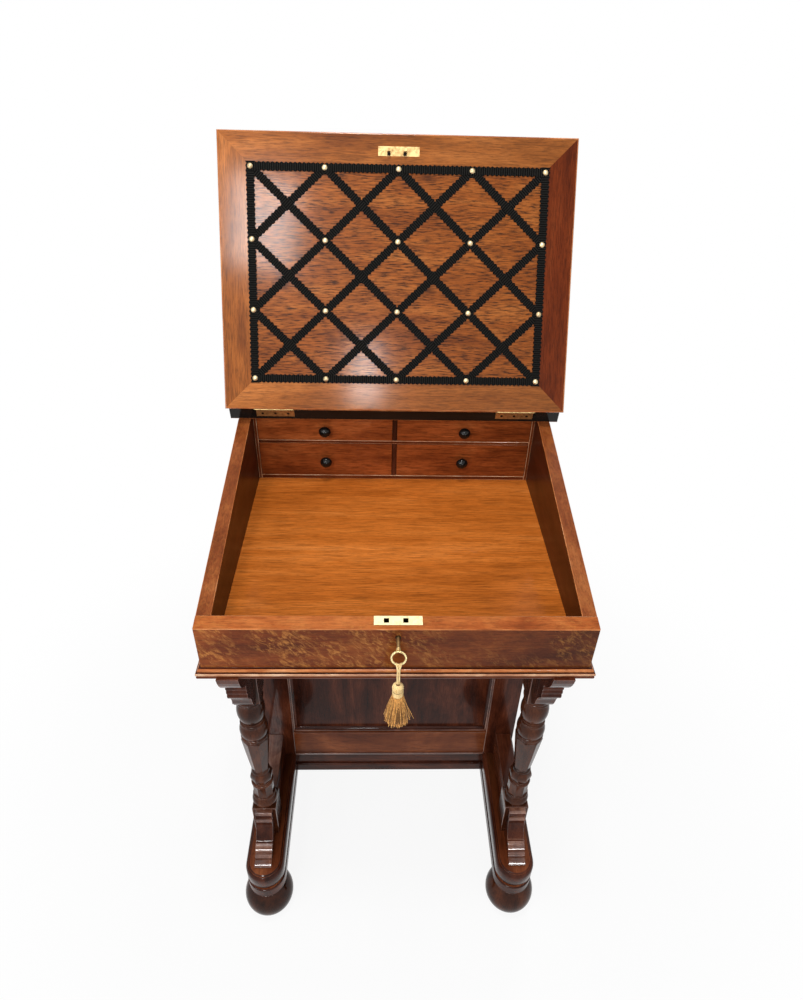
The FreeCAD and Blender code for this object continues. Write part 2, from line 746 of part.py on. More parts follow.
frontOutline = [
    ("0", "boxFloor"),
    ("boxFront", "boxFloor"),
    ("boxFront", rim.format("boxFront")),
    ("0", "frontTop"),
]
frontBlank = slab("frontBlank", "YZ_Plane", frontOutline, "-boxHalf", "boxHalf")
plateBed = box("plateBed", (f"-({plateHalf}) - lockFit", f"{plateHalf} + lockFit"),
               (f"{plateNear} - lockFit", f"{plateFar} + lockPlateWide / 2"), ("-lockPlateThick", "1"))
mortise = box("lockMortise", ("-lockCaseLong / 2 - lockFit", "lockCaseLong / 2 + lockFit"),
              ("caseFront - lockFit", "boxFront + 1"), ("caseLow - lockFit", "frontTop + boxFront"))
keyway = [
    rod("keyhole", "keyBore + liningWall", "caseFront + 1", ("0", "-1", "keyZ"), acrossX, -90.0),
    box("keySlot", ("-bitThick / 2 - keyClear - liningWall", "bitThick / 2 + keyClear + liningWall"),
        ("-1", "caseFront"), ("keyZ - keyBore - bitHigh - liningWall", "keyZ")),
]
frontWays = [onRim("plateBedLeaned", plateBed), mortise] + keyway
node("box_front", [cutFrom("boxFrontBoard", frontBlank, frontWays)])

# ---- lock, keyhole lining, bolt and key
leanDrop = "lockPlateThick / cos(slope)"


def caseBlank(name, inset):
    near, far = f"caseFront + {inset}", f"caseBack - {inset}"
    top = f"frontTop + ({{}}) * tan(slope) - {leanDrop} - {inset}"
    outline = [(near, f"caseLow + {inset}"), (far, f"caseLow + {inset}"),
               (far, top.format(far)), (near, top.format(near))]
    return slab(name, "YZ_Plane", outline, f"-lockCaseLong / 2 + {inset}", f"lockCaseLong / 2 - {inset}")


lugShafts = [box("lugShaft" + end, (f"{x} - lugHole / 2", f"{x} + lugHole / 2"),
                 (f"{lugMiddle} - lugHole / 2", f"{lugMiddle} + lugHole / 2"),
                 ("-lockPlateThick - lockWall * 2", "0")) for end, x in lugs]
caseEye = rod("caseEye", "keyBore", "lockWall + 2", ("0", "caseFront - 1", "keyZ"), acrossX, -90.0)
caseSlot = box("caseSlot", ("-bitThick / 2 - keyClear", "bitThick / 2 + keyClear"),
               ("caseFront - 1", "caseFront + lockWall + 1"), ("keyZ - keyBore - bitHigh", "keyZ"))
caseHollow = caseBlank("caseHollow", "lockWall")
node("lock_case", [cutFrom("lockCaseBody", caseBlank("caseOuter", "0"),
                           [caseHollow, caseEye, caseSlot]
                           + [onRim("lugWay" + str(n), shaft) for n, shaft in enumerate(lugShafts)])])

liningOuter = fused("liningOuter", [
    rod("liningRound", "keyBore + liningWall", "caseFront", ("0", "0", "keyZ"), acrossX, -90.0),
    box("liningTail", ("-bitThick / 2 - keyClear - liningWall", "bitThick / 2 + keyClear + liningWall"),
        ("0", "caseFront"), ("keyZ - keyBore - bitHigh - liningWall", "keyZ")),
])
liningInner = [
    rod("liningBore", "keyBore", "caseFront + 2", ("0", "-1", "keyZ"), acrossX, -90.0),
    box("liningSlot", ("-bitThick / 2 - keyClear", "bitThick / 2 + keyClear"), ("-1", "caseFront + 1"),
        ("keyZ - keyBore - bitHigh", "keyZ")),
]
node("keyhole_lining", [cutFrom("liningRing", liningOuter, liningInner)])

eyeY = f"{lugMiddle} * cos(slope) + lugEyeDrop * sin(slope)"
eyeZ = f"frontTop + {lugMiddle} * sin(slope) - lugEyeDrop * cos(slope)"
boltBack = "caseBack - lockWall - slideClear"
boltDeep = (f"{boltBack} - boltThick", boltBack)
boltParts = [box("boltBar", ("-boltHalf", "boltHalf"), boltDeep,
                 (f"{eyeZ} - boltHigh", f"{eyeZ} - (lugLong - lugEyeDrop) - boltClear"))]
for end, x in lugs:
    root = f"{x} - lugSize / 2 - boltTipGap - boltTongue"
    boltParts.append(rod("boltTongue" + end, "tongueRadius", "boltTongue", (root, eyeY, eyeZ), acrossY, 90.0))
    boltParts.append(box("boltRiser" + end, (root, f"{root} + boltThick"), boltDeep,
                         (f"{eyeZ} - boltHigh", f"{eyeZ} + tongueRadius")))
    boltParts.append(box("boltArm" + end, (root, f"{root} + boltThick"),
                         (f"{eyeY} - tongueRadius", boltBack),
                         (f"{eyeZ} - tongueRadius", f"{eyeZ} + tongueRadius")))
node("lock_bolt", [fused("boltWhole", boltParts)])

ring = doc.addObject("Part::Torus", "keyRing")
ring.setExpression("Radius1", rule("ringRadius"))
ring.setExpression("Radius2", rule("ringWire"))
seat(ring, y="ringY", z="keyZ")
node("key", [fused("keyWhole", [
    rod("keyStem", "keyShank", "keyOut + keyIn", ("0", "-keyOut", "keyZ"), acrossX, -90.0),
    rod("keyCollarRound", "keyCollar", "keyCollarLong", ("0", "-keyOut + ringWire", "keyZ"), acrossX, -90.0),
    box("keyBit", ("-keyShank - bitHigh", "0"), ("keyIn - bitWide", "keyIn"),
        ("keyZ - bitThick / 2", "keyZ + bitThick / 2")),
    ring,
])])

# ---- tassel: a doubled cord with a tight bend at the key's ring, and a turned head and skirt
cordHalf = "cordSpread / 2"
bend = doc.addObject("Part::Torus", "cordBend")
bend.setExpression("Radius1", rule(cordHalf))
bend.setExpression("Radius2", rule("cordRadius"))
bend.Angle3 = 180.0
bend.Placement = FreeCAD.Placement(FreeCAD.Vector(), FreeCAD.Rotation(acrossX, 90.0))
seat(bend, "0", "tasselY", "keyZ")
node("tassel_cord", [fused("cordLoop", [bend] + [
    rod("cordStrand" + end, "cordRadius", "cordDrop", (f"{sign}{cordHalf}", "tasselY", "tasselTop"))
    for end, sign in (("Left", "-"), ("Right", ""))])])
print("cord bends round the ring at a radius of", amount(cordHalf), "mm")
tassel = lathe("tasselTurning", "tassel")
node("tassel", [put("tasselHung", tassel, ("0", "tasselY", "tasselTop - tasselHigh"))])

# ---- nest of four small drawers
nestDeep = ("nestFront", "boxRear")
nestAcross = ("-nestHalf", "nestHalf")
nestMiddle = ("-nestMid", "nestMid")
node("drawer_nest", [
    box("nestEndLeft", ("-boxInner", "-nestHalf"), nestDeep, ("wellTop", "backTop")),
    box("nestEndRight", ("nestHalf", "boxInner"), nestDeep, ("wellTop", "backTop")),
    box("nestBottomBoard", nestAcross, nestDeep, ("wellTop", "nestFloor")),
    box("nestShelfBoard", nestAcross, nestDeep, ("nestShelfLow", "nestShelfTop")),
    box("nestTopBoard", nestAcross, nestDeep, ("nestCeiling", "backTop")),
    box("nestUprightLow", nestMiddle, nestDeep, ("nestFloor", "nestShelfLow")),
    box("nestUprightHigh", nestMiddle, nestDeep, ("nestShelfTop", "nestCeiling")),
])
smallKnob = lathe("smallKnobTurning", "smallKnob")
smallRear = "boxRear - smallBackGap"
smallFace = "nestFront + smallFront"
for level, low, high in (("upper", "nestShelfTop", "nestCeiling"), ("lower", "nestFloor", "nestShelfLow")):
    for side, left, right in (("left", "-nestHalf", "-nestMid"), ("right", "nestMid", "nestHalf")):
        name = f"small_drawer_{level}_{side}"
        near, far = f"{left} + smallClear", f"{right} - smallClear"
        nearIn, farIn = near + " + smallWall", far + " - smallWall"
        tray = (low + " + slideClear", high + " - smallDrop")
        node(name, [
            box(name + "Front", (near, far), ("nestFront", smallFace),
                (low + " + smallClear", high + " - smallClear")),
            box(name + "Near", (near, nearIn), (smallFace, smallRear), tray),
            box(name + "Far", (farIn, far), (smallFace, smallRear), tray),
            box(name + "End", (nearIn, farIn), (f"{smallRear} - smallWall", smallRear), tray),
            box(name + "Floor", (nearIn, farIn), (smallFace, f"{smallRear} - smallWall"),
                (tray[0], tray[0] + " + smallFloor")),
        ])
        node(name + "_knob", [put(name + "Knob", smallKnob,
                                  (f"({left} + {right}) / 2", "nestFront", f"({low} + {high}) / 2"),
                                  acrossX, 90.0)])

# ---- hinges, drawn with X along the pin, Y into the wood and Z along the meeting edge
hingeStarts = (("Left", "-hingeInner - hingeLong"), ("Right", "hingeInner"))
knuckle = "hingeLong / 5"
leafNear = "knuckleRadius + woodClear"


def leafSpan(sign):
    low, high = f"{sign}({leafNear})", f"{sign}leafWide"
    return (low, high) if sign == "" else (high, low)


def hingeScrews(name, start, sign):
    screws = []
    for place in (1, 3, 5):
        at = (f"{start} + hingeLong * {place} / 6", "leafGap", f"{sign}(leafWide + {leafNear}) / 2")
        shank = (at[0], "leafGap + screwHeadHigh", at[2])
        screws.append(fused(f"{name}Screw{place}", [
            rod(f"{name}Head{place}", "screwHeadRadius", "screwHeadHigh", at, acrossX, -90.0),
            rod(f"{name}Shank{place}", "screwRadius", "screwLong - screwHeadHigh", shank, acrossX, -90.0),
        ]))
    return screws


def hingeLeaf(name, start, sign, owned):
    """One leaf with the knuckles it owns, its screws let into it and its pin way clear."""
    across = (start, f"{start} + hingeLong")
    deep = ("leafGap", "leafGap + leafThick")
    parts = [box(name + "Plate", across, deep, leafSpan(sign))]
    for place in owned:
        low = f"{start} + {knuckle} * {place} + knuckleEndGap / 2"
        high = f"{start} + {knuckle} * {place + 1} - knuckleEndGap / 2"
        parts.append(rod(f"{name}Knuckle{place}", "knuckleRadius", f"({high}) - ({low})", (low, "0", "0"),
                         acrossY, 90.0))
        tab = ("0", leafNear) if sign == "" else (f"-({leafNear})", "0")
        parts.append(box(f"{name}Tab{place}", (low, high), deep, tab))
    bore = rod(name + "Bore", "pinRadius + pinClear", "hingeLong + 2", (f"{start} - 1", "0", "0"),
               acrossY, 90.0)
    screws = hingeScrews(name, start, sign)
    return [cutFrom(name + "Leaf", fused(name + "Blank", parts), [bore] + screws)] + screws


def hingeBeds(name, sign):
    """What the hinges take out of the wood: a bed for each leaf and a groove for each knuckle."""
    beds = []
    for side, start in hingeStarts:
        across = (f"{start} - leafGap", f"{start} + hingeLong + leafGap")
        beds.append(box(f"{name}Bed{side}", across, ("-1", "leafGap + leafThick"),
                        ("0", "leafWide + leafGap") if sign == "" else ("-leafWide - leafGap", "0")))
        beds.append(rod(f"{name}Groove{side}", leafNear, "hingeLong + 2 * leafGap", (across[0], "0", "0"),
                        acrossY, 90.0))
    return beds


def onEdge(name, thing):
    return put(name, thing, ("0", "hingeReach", "topTop"), acrossX, lean="slope")


def onLid(name, thing):
    return put(name, thing, ("0", "hingeReach", "topTop"), acrossX, lean="90 - lidLean")


fixedLeaves, lidLeaves = [], []
for side, start in hingeStarts:
    fixedLeaves += hingeLeaf("fixed" + side, start, "-", (0, 2, 4))
    fixedLeaves.append(rod("hingePin" + side, "pinRadius", "hingeLong", (start, "0", "0"), acrossY, 90.0))
    lidLeaves += hingeLeaf("lid" + side, start, "", (1, 3))
node("hinge_leaves_fixed", [onEdge("fixedLeavesSet", together("fixedLeavesFlat", fixedLeaves))])
node("hinge_leaves_lid", [onLid("lidLeavesSet", together("lidLeavesFlat", lidLeaves))])

# ---- fixed top and gallery
topNear = "hingeReach + edgeGap / cos(slope)"
topOutline = [
    (topNear, "topTop"),
    (f"{topNear} + (topTop - backTop) * tan(slope)", "backTop"),
    ("topRear", "backTop"),
    ("topRear", "topTop"),
]
topBoard = slab("topBoard", "YZ_Plane", topOutline, "-topHalf", "topHalf")
topBeds = [onEdge(f"topBed{n}", bed) for n, bed in enumerate(hingeBeds("top", "-"))]
node("fixed_top", [cutFrom("topCut", topBoard, topBeds)])

railLow = "galleryTop - galleryRailThick"
railOut = "topHalf - galleryInset"
railBack = "topRear - galleryInset"
railRest = "hingeReach + (({}) - topTop) * tan(lidLean) + restGap / cos(lidLean)"
railOutline = [
    (railRest.format(railLow), railLow),
    (railBack, railLow),
    (railBack, "galleryTop"),
    (railRest.format("galleryTop"), "galleryTop"),
]
railRight = slab("railRight", "YZ_Plane", railOutline, f"{railOut} - galleryRailWide", railOut)
node("gallery_rails", [
    railRight,
    mirrored("railLeft", railRight),
    box("railBack", (f"-({railOut} - galleryRailWide)", f"{railOut} - galleryRailWide"),
        (f"{railBack} - galleryRailWide", railBack), (railLow, "galleryTop")),
])
spindle = lathe("spindleTurning", "spindle", "galleryHeight - galleryRailThick")
rowHalf = f"({railOut} - galleryRailWide / 2)"
rowY = f"{railBack} - galleryRailWide / 2"
pitch = f"(2 * {rowHalf} / (gallerySpindles - 1))"
backRow = [(f"-{rowHalf} + {place} * {pitch}", rowY) for place in range(int(sizes["gallerySpindles"]))]
sidePitch = f"({rowY} - hingeReach - gallerySideGap) / 2"
sideRows = [(sign + rowHalf, f"{rowY} - {place} * {sidePitch}") for sign in ("-", "") for place in (1, 2)]
node("gallery_spindles", [put(f"spindle{n}", spindle, (x, y, "topTop"))
                          for n, (x, y) in enumerate(backRow + sideRows)])

# ---- lid, drawn flat on X and Y away from the hinge and leaned back as a whole
frame = mitredFrame("lidFrame", "lidHalf", "edgeGap", "lidLength", "lidBorder", "0", "lidThick")
linkBed = box("linkBed", (f"-({plateHalf}) - lockFit", f"{plateHalf} + lockFit"),
              ("linkCentre - lockPlateWide / 2 - lockFit", "linkCentre + lockPlateWide / 2 + lockFit"),
              ("lidThick - lockPlateThick", "lidThick + 1"))
frame["Near"] = cutFrom("lidFrameHinged", frame["Near"], hingeBeds("lid", ""))
frame["Far"] = cutFrom("lidFrameLinked", frame["Far"], [linkBed])
node("lid_frame", [onLid("lidFrameSet", together("lidFrameFlat", frame.values()))])

panelAcross = ("-lidInner", "lidInner")
panelAlong = ("edgeGap + lidBorder", "lidLength - lidBorder")
leatherBack = "leatherSink + leatherThick"
node("lid_panel", [onLid("lidPanelSet", box("lidPanelFlat", panelAcross, panelAlong,
                                            (leatherBack, "lidThick")))])
node("writing_leather", [onLid("leatherSet", box("leatherFlat", panelAcross, panelAlong,
                                                ("leatherSink", leatherBack)))])

linkParts = [box("linkPlate", (f"-({plateHalf})", plateHalf),
                 ("linkCentre - lockPlateWide / 2", "linkCentre + lockPlateWide / 2"),
                 ("lidThick - lockPlateThick", "lidThick"))]
linkEyes = []
for end, x in lugs:
    linkParts.append(box("lug" + end, (f"{x} - lugSize / 2", f"{x} + lugSize / 2"),
                         ("linkCentre - lugSize / 2", "linkCentre + lugSize / 2"),
                         ("lidThick - lockPlateThick", "lidThick + lugLong")))
    linkEyes.append(rod("lugEye" + end, "lugEyeRadius", "lugSize + 2",
                        (f"{x} - lugSize / 2 - 1", "linkCentre", "lidThick + lugEyeDrop"), acrossY, 90.0))
node("link_plate", [onLid("linkSet", cutFrom("linkCut", fused("linkBlank", linkParts), linkEyes))])

# The letter rack: a border of ribbon, and two families of ribbons that cross at the studs.
ribbonDeep = ("lidThick", "lidThick + ribbonThick")
rackHalf = f"({(columnCount - 1) / 2} * studColumnPitch)"
rackFar = f"(studEdge + {rowCount - 1} * studRowPitch)"
ribbons = []
for name, x in (("Left", f"-{rackHalf}"), ("Right", rackHalf)):
    ribbons.append(box("ribbon" + name, (f"{x} - ribbonWide / 2", f"{x} + ribbonWide / 2"),
                       ("studEdge - ribbonWide / 2", f"{rackFar} + ribbonWide / 2"), ribbonDeep))
for name, y in (("Near", "studEdge"), ("Far", rackFar)):
    ribbons.append(box("ribbon" + name, (f"-{rackHalf}", rackHalf),
                       (f"{y} - ribbonWide / 2", f"{y} + ribbonWide / 2"), ribbonDeep))
starts = [(column, 0) for column in range(columnCount - 1)] + [(0, row) for row in range(1, rowCount - 1)]
for column, row in starts:
    steps = min(columnCount - 1 - column, rowCount - 1 - row)
    for name, turn in (("Rising", 1), ("Falling", -1)):
        strip = doc.addObject("Part::Box", f"ribbon{name}{column}{row}")
        angle = f"{turn} * atan(studRowPitch / studColumnPitch)"
        long = f"{steps} * sqrt(studColumnPitch ^ 2 + studRowPitch ^ 2)"
        strip.setExpression("Length", rule(long))
        strip.setExpression("Width", rule("ribbonWide"))
        strip.setExpression("Height", rule("ribbonThick"))
        strip.Placement = FreeCAD.Placement(FreeCAD.Vector(), FreeCAD.Rotation(upZ, 1.0))
        strip.setExpression("Placement.Rotation.Angle", rule(angle))
        x = f"{column} * studColumnPitch - {rackHalf}"
        y = f"studEdge + {row} * studRowPitch"
        if turn < 0:
            y = f"{rackFar} - {row} * studRowPitch"
        seat(strip, f"{x} + ribbonWide / 2 * sin({angle})", f"{y} - ribbonWide / 2 * cos({angle})",
             "lidThick")
        ribbons.append(strip)
node("ribbon_rack", [onLid("ribbonSet", fused("ribbonsFlat", ribbons))])

stud = lathe("studTurning", "stud")
studs = [put(f"stud{column}{row}", stud, (f"{column} * studColumnPitch - {rackHalf}",
                                          f"studEdge + {row} * studRowPitch", "lidThick + ribbonThick"))
         for column in range(columnCount) for row in range(rowCount)]
node("ribbon_studs", [onLid("studSet", together("studsFlat", studs))])

doc.recompute()
for thing in doc.Objects:
    if "Invalid" in thing.State or "Error" in thing.State:
        raise RuntimeError(f"{thing.Name} did not build: {thing.State}")
os.makedirs("parts", exist_ok=True)
for thing in nodes:
    if thing.Shape.isNull() or not thing.Shape.isValid() or not thing.Shape.Solids:
        raise RuntimeError(f"{thing.Label} has no sound solid")
for thing in nodes:
    thing.Shape.exportStep(f"parts/{thing.Label}.step")
print(len(nodes), "nodes,", sum(len(thing.Shape.Solids) for thing in nodes), "solids")
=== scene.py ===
import bpy
import bmesh
import math
import random
from mathutils import Matrix, Vector


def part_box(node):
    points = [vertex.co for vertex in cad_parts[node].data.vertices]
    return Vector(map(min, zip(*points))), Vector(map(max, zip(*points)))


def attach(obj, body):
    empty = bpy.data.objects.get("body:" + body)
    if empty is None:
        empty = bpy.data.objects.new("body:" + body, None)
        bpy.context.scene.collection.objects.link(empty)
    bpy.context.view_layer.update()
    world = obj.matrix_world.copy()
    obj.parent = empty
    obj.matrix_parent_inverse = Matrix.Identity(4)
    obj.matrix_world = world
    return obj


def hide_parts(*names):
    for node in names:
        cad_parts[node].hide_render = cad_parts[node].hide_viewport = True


# Davenport desk: the finished looks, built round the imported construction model.
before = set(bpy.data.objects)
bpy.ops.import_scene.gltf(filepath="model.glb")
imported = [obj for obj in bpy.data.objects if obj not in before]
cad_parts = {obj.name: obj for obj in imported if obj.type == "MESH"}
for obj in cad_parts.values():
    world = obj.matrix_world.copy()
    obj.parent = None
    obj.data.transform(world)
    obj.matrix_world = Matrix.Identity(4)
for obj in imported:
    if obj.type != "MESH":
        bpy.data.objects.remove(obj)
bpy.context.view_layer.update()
scene = bpy.context.scene
dice = random.Random(11)
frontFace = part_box("box_front")[0].y    # where the writing box begins
print("frame loaded,", len(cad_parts), "nodes")


def spot(x, y, z):
    # millimetres, with Y counted from the front of the writing box
    return Vector((x / 1000, y / 1000 + frontFace, z / 1000))


# ---- camera
camera = {"place": (-26.3, -621.9, 1406.4), "turn": 2.30, "down": 36.03, "roll": 1.81, "lens": 24.78}
eye = bpy.data.objects.new("camera", bpy.data.cameras.new("camera"))
scene.collection.objects.link(eye)
eye.data.lens = camera["lens"]
eye.data.sensor_width = 36.0
eye.data.clip_start = 0.05
eye.matrix_world = (
    Matrix.Translation(spot(*camera["place"]))
    @ Matrix.Rotation(-math.radians(camera["turn"]), 4, "Z")
    @ Matrix.Rotation(math.radians(90 - camera["down"]), 4, "X")
    @ Matrix.Rotation(math.radians(camera["roll"]), 4, "Z")
)
scene.camera = eye


# ---- a small kit for node materials
def node(tree, kind, settings=None, links=None):
    made = tree.nodes.new(kind)
    for name, value in (settings or {}).items():
        if name in made.inputs:
            made.inputs[name].default_value = value
        else:
            setattr(made, name, value)
    for name, socket in (links or {}).items():
        tree.links.new(socket, made.inputs[name])
    return made


def ramp(tree, factor, stops):
    made = node(tree, "ShaderNodeValToRGB", None, {"Fac": factor})
    while len(made.color_ramp.elements) < len(stops):
        made.color_ramp.elements.new(0.5)
    for element, (place, colour) in zip(made.color_ramp.elements, stops):
        element.position = place
        element.color = (*(colour if isinstance(colour, tuple) else (colour,) * 3), 1.0)
    return made.outputs["Color"]


def feed(tree, made, values):
    for place, value in values.items():
        if hasattr(value, "is_output"):
            tree.links.new(value, made.inputs[place])
        else:
            made.inputs[place].default_value = value


def blend(tree, how, amount, first, second):
    made = node(tree, "ShaderNodeMix", {"data_type": "RGBA", "blend_type": how})
    feed(tree, made, {0: amount, 6: first, 7: second})
    return made.outputs[2]


def sums(tree, what, first, second):
    made = node(tree, "ShaderNodeMath", {"operation": what})
    feed(tree, made, {0: first, 1: second})
    return made.outputs[0]


def times(tree, first, second):
    return sums(tree, "MULTIPLY", first, second)


def stretched(tree, place, scale, turn=(0, 0, 0)):
    made = node(tree, "ShaderNodeMapping", {"Rotation": turn, "Scale": scale}, {"Vector": place})
    return made.outputs["Vector"]


def cloud(tree, place, scale=1.0, detail=3.0, rough=0.55, bend=0.0):
    made = node(tree, "ShaderNodeTexNoise",
                {"Scale": scale, "Detail": detail, "Roughness": rough, "Distortion": bend},
                {"Vector": place})
    return made.outputs["Fac"]


def startSkin(name):
    skin = bpy.data.materials.new(name)
    skin.use_nodes = True
    tree = skin.node_tree
    tree.nodes.clear()
    gloss = node(tree, "ShaderNodeBsdfPrincipled")
    out = node(tree, "ShaderNodeOutputMaterial", None, {"Surface": gloss.outputs["BSDF"]})
    out.location = (400, 0)
    return skin, tree, gloss


def grainPlace(tree):
    return node(tree, "ShaderNodeAttribute", {"attribute_name": "grain"}).outputs["Vector"]


def objectPlace(tree):
    return node(tree, "ShaderNodeTexCoord").outputs["Object"]


def dentBy(tree, gloss, strength, depth, height):
    bump = node(tree, "ShaderNodeBump", {"Strength": strength, "Distance": depth}, {"Height": height})
    tree.links.new(bump.outputs["Normal"], gloss.inputs["Normal"])


# ---- wood: figure, fibres and pores that run along the first axis of each board's own grain
def woodSkin(name, tones, bands=40, mottle=(9, 17), figure=0.0, dashes=0.3, pores=0.4, rough=0.34,
             coat=0.12, coatRough=0.12, shine=0.07, dust=0.0, knots=0.0, shadeFade=0.0,
             shadeOver=("X", -0.25, 0.25), fibreLength=42):
    skin, tree, gloss = startSkin(name)
    place = grainPlace(tree)

    def flecks(source, along, across, detail, rough=0.6, bend=0.0):
        return cloud(tree, stretched(tree, source, (along, across, across)), 1.0, detail, rough, bend)

    wander = flecks(place, 2.5, 14, 3.0, 0.55)
    sideways = node(tree, "ShaderNodeCombineXYZ", None, {"Y": wander, "Z": wander}).outputs[0]
    pushed = node(tree, "ShaderNodeVectorMath", {"operation": "MULTIPLY_ADD"}, {0: sideways, 2: place})
    pushed.inputs[1].default_value = (0, 0.09, 0.09)
    rings = flecks(pushed.outputs[0], 1.5, bands, 4.0)
    clouds = flecks(place, *mottle, 5.0, bend=0.7)
    tone = sums(tree, "ADD", times(tree, rings, 0.42), times(tree, clouds, 0.58))
    colour = ramp(tree, tone, list(zip((0.36, 0.46, 0.54, 0.66), tones)))
    streak = flecks(place, fibreLength, 520, 3.0)
    lines = ramp(tree, streak, [(0.34, 1 - dashes), (0.52, 1.0), (0.7, 1 + dashes * 0.25)])
    colour = blend(tree, "MULTIPLY", 1.0, colour, lines)
    fibres = flecks(place, 45, 1300, 2.0)
    threads = ramp(tree, fibres, [(0.3, 1 - dashes * 0.45), (0.62, 1.05)])
    colour = blend(tree, "MULTIPLY", 1.0, colour, threads)
    shade = tuple(channel * 0.3 for channel in tones[0]) + (1.0,)
    holes = ramp(tree, flecks(place, 110, 1500, 1.0, 0.4), [(0.33, 0.0), (0.4, 1.0)])
    colour = blend(tree, "MIX", times(tree, sums(tree, "SUBTRACT", 1.0, holes), pores), colour, shade)
    if knots:
        eyes = node(tree, "ShaderNodeTexVoronoi", {"Scale": 1.0, "Randomness": 1.0},
                    {"Vector": stretched(tree, pushed.outputs[0], (7, 14, 14))}).outputs["Distance"]
        colour = blend(tree, "MIX", ramp(tree, eyes, [(0.03, knots), (0.14, 0.0)]), colour, shade)
    if figure:
        tilted = stretched(tree, place, (1, 1, 1), (0, math.radians(-46), 0))
        strokes = ramp(tree, flecks(tilted, 62, 150, 5.0, 0.7, 0.9), [(0.46, 0.0), (0.62, 1.0)])
        patches = ramp(tree, flecks(tilted, 10, 17, 3.0, 0.6, 0.6), [(0.42, 0.08), (0.6, 1.0)])
        glints = ramp(tree, flecks(tilted, 150, 480, 3.0, 0.65), [(0.4, 0.3), (0.56, 1.0)])
        lit = times(tree, times(tree, strokes, patches), glints)
        colour = blend(tree, "MIX", times(tree, lit, figure), colour, (0.56, 0.225, 0.05, 1.0))
    # painted shade: the colour darkens from one end of the span to the other, standing for light that falls off
    # across the board
    if shadeFade:
        letter, start, end = shadeOver
        across = node(tree, "ShaderNodeSeparateXYZ", None, {0: objectPlace(tree)}).outputs[letter]
        paintedShade = node(tree, "ShaderNodeMapRange",
                      {"From Min": start, "From Max": end, "To Min": 1.0, "To Max": 1 - shadeFade},
                      {"Value": across}).outputs[0]
        colour = blend(tree, "MULTIPLY", 1.0, colour, paintedShade)
    if dust:
        veil = times(tree, ramp(tree, flecks(place, 6, 6, 4.0, 0.7), [(0.45, 0.0), (0.75, 1.0)]), dust)
        colour = blend(tree, "MIX", veil, colour, (0.45, 0.4, 0.36, 1.0))
    worn = times(tree, flecks(place, 6, 15, 4.0, 0.65), 0.22)
    feed(tree, gloss, {"Base Color": colour, "Roughness": sums(tree, "ADD", worn, rough - 0.11),
                       "Specular IOR Level": shine, "Coat Weight": coat, "Coat Roughness": coatRough})
    dentBy(tree, gloss, 0.1, 0.0004, sums(tree, "ADD", times(tree, fibres, 0.5), holes))
    return skin
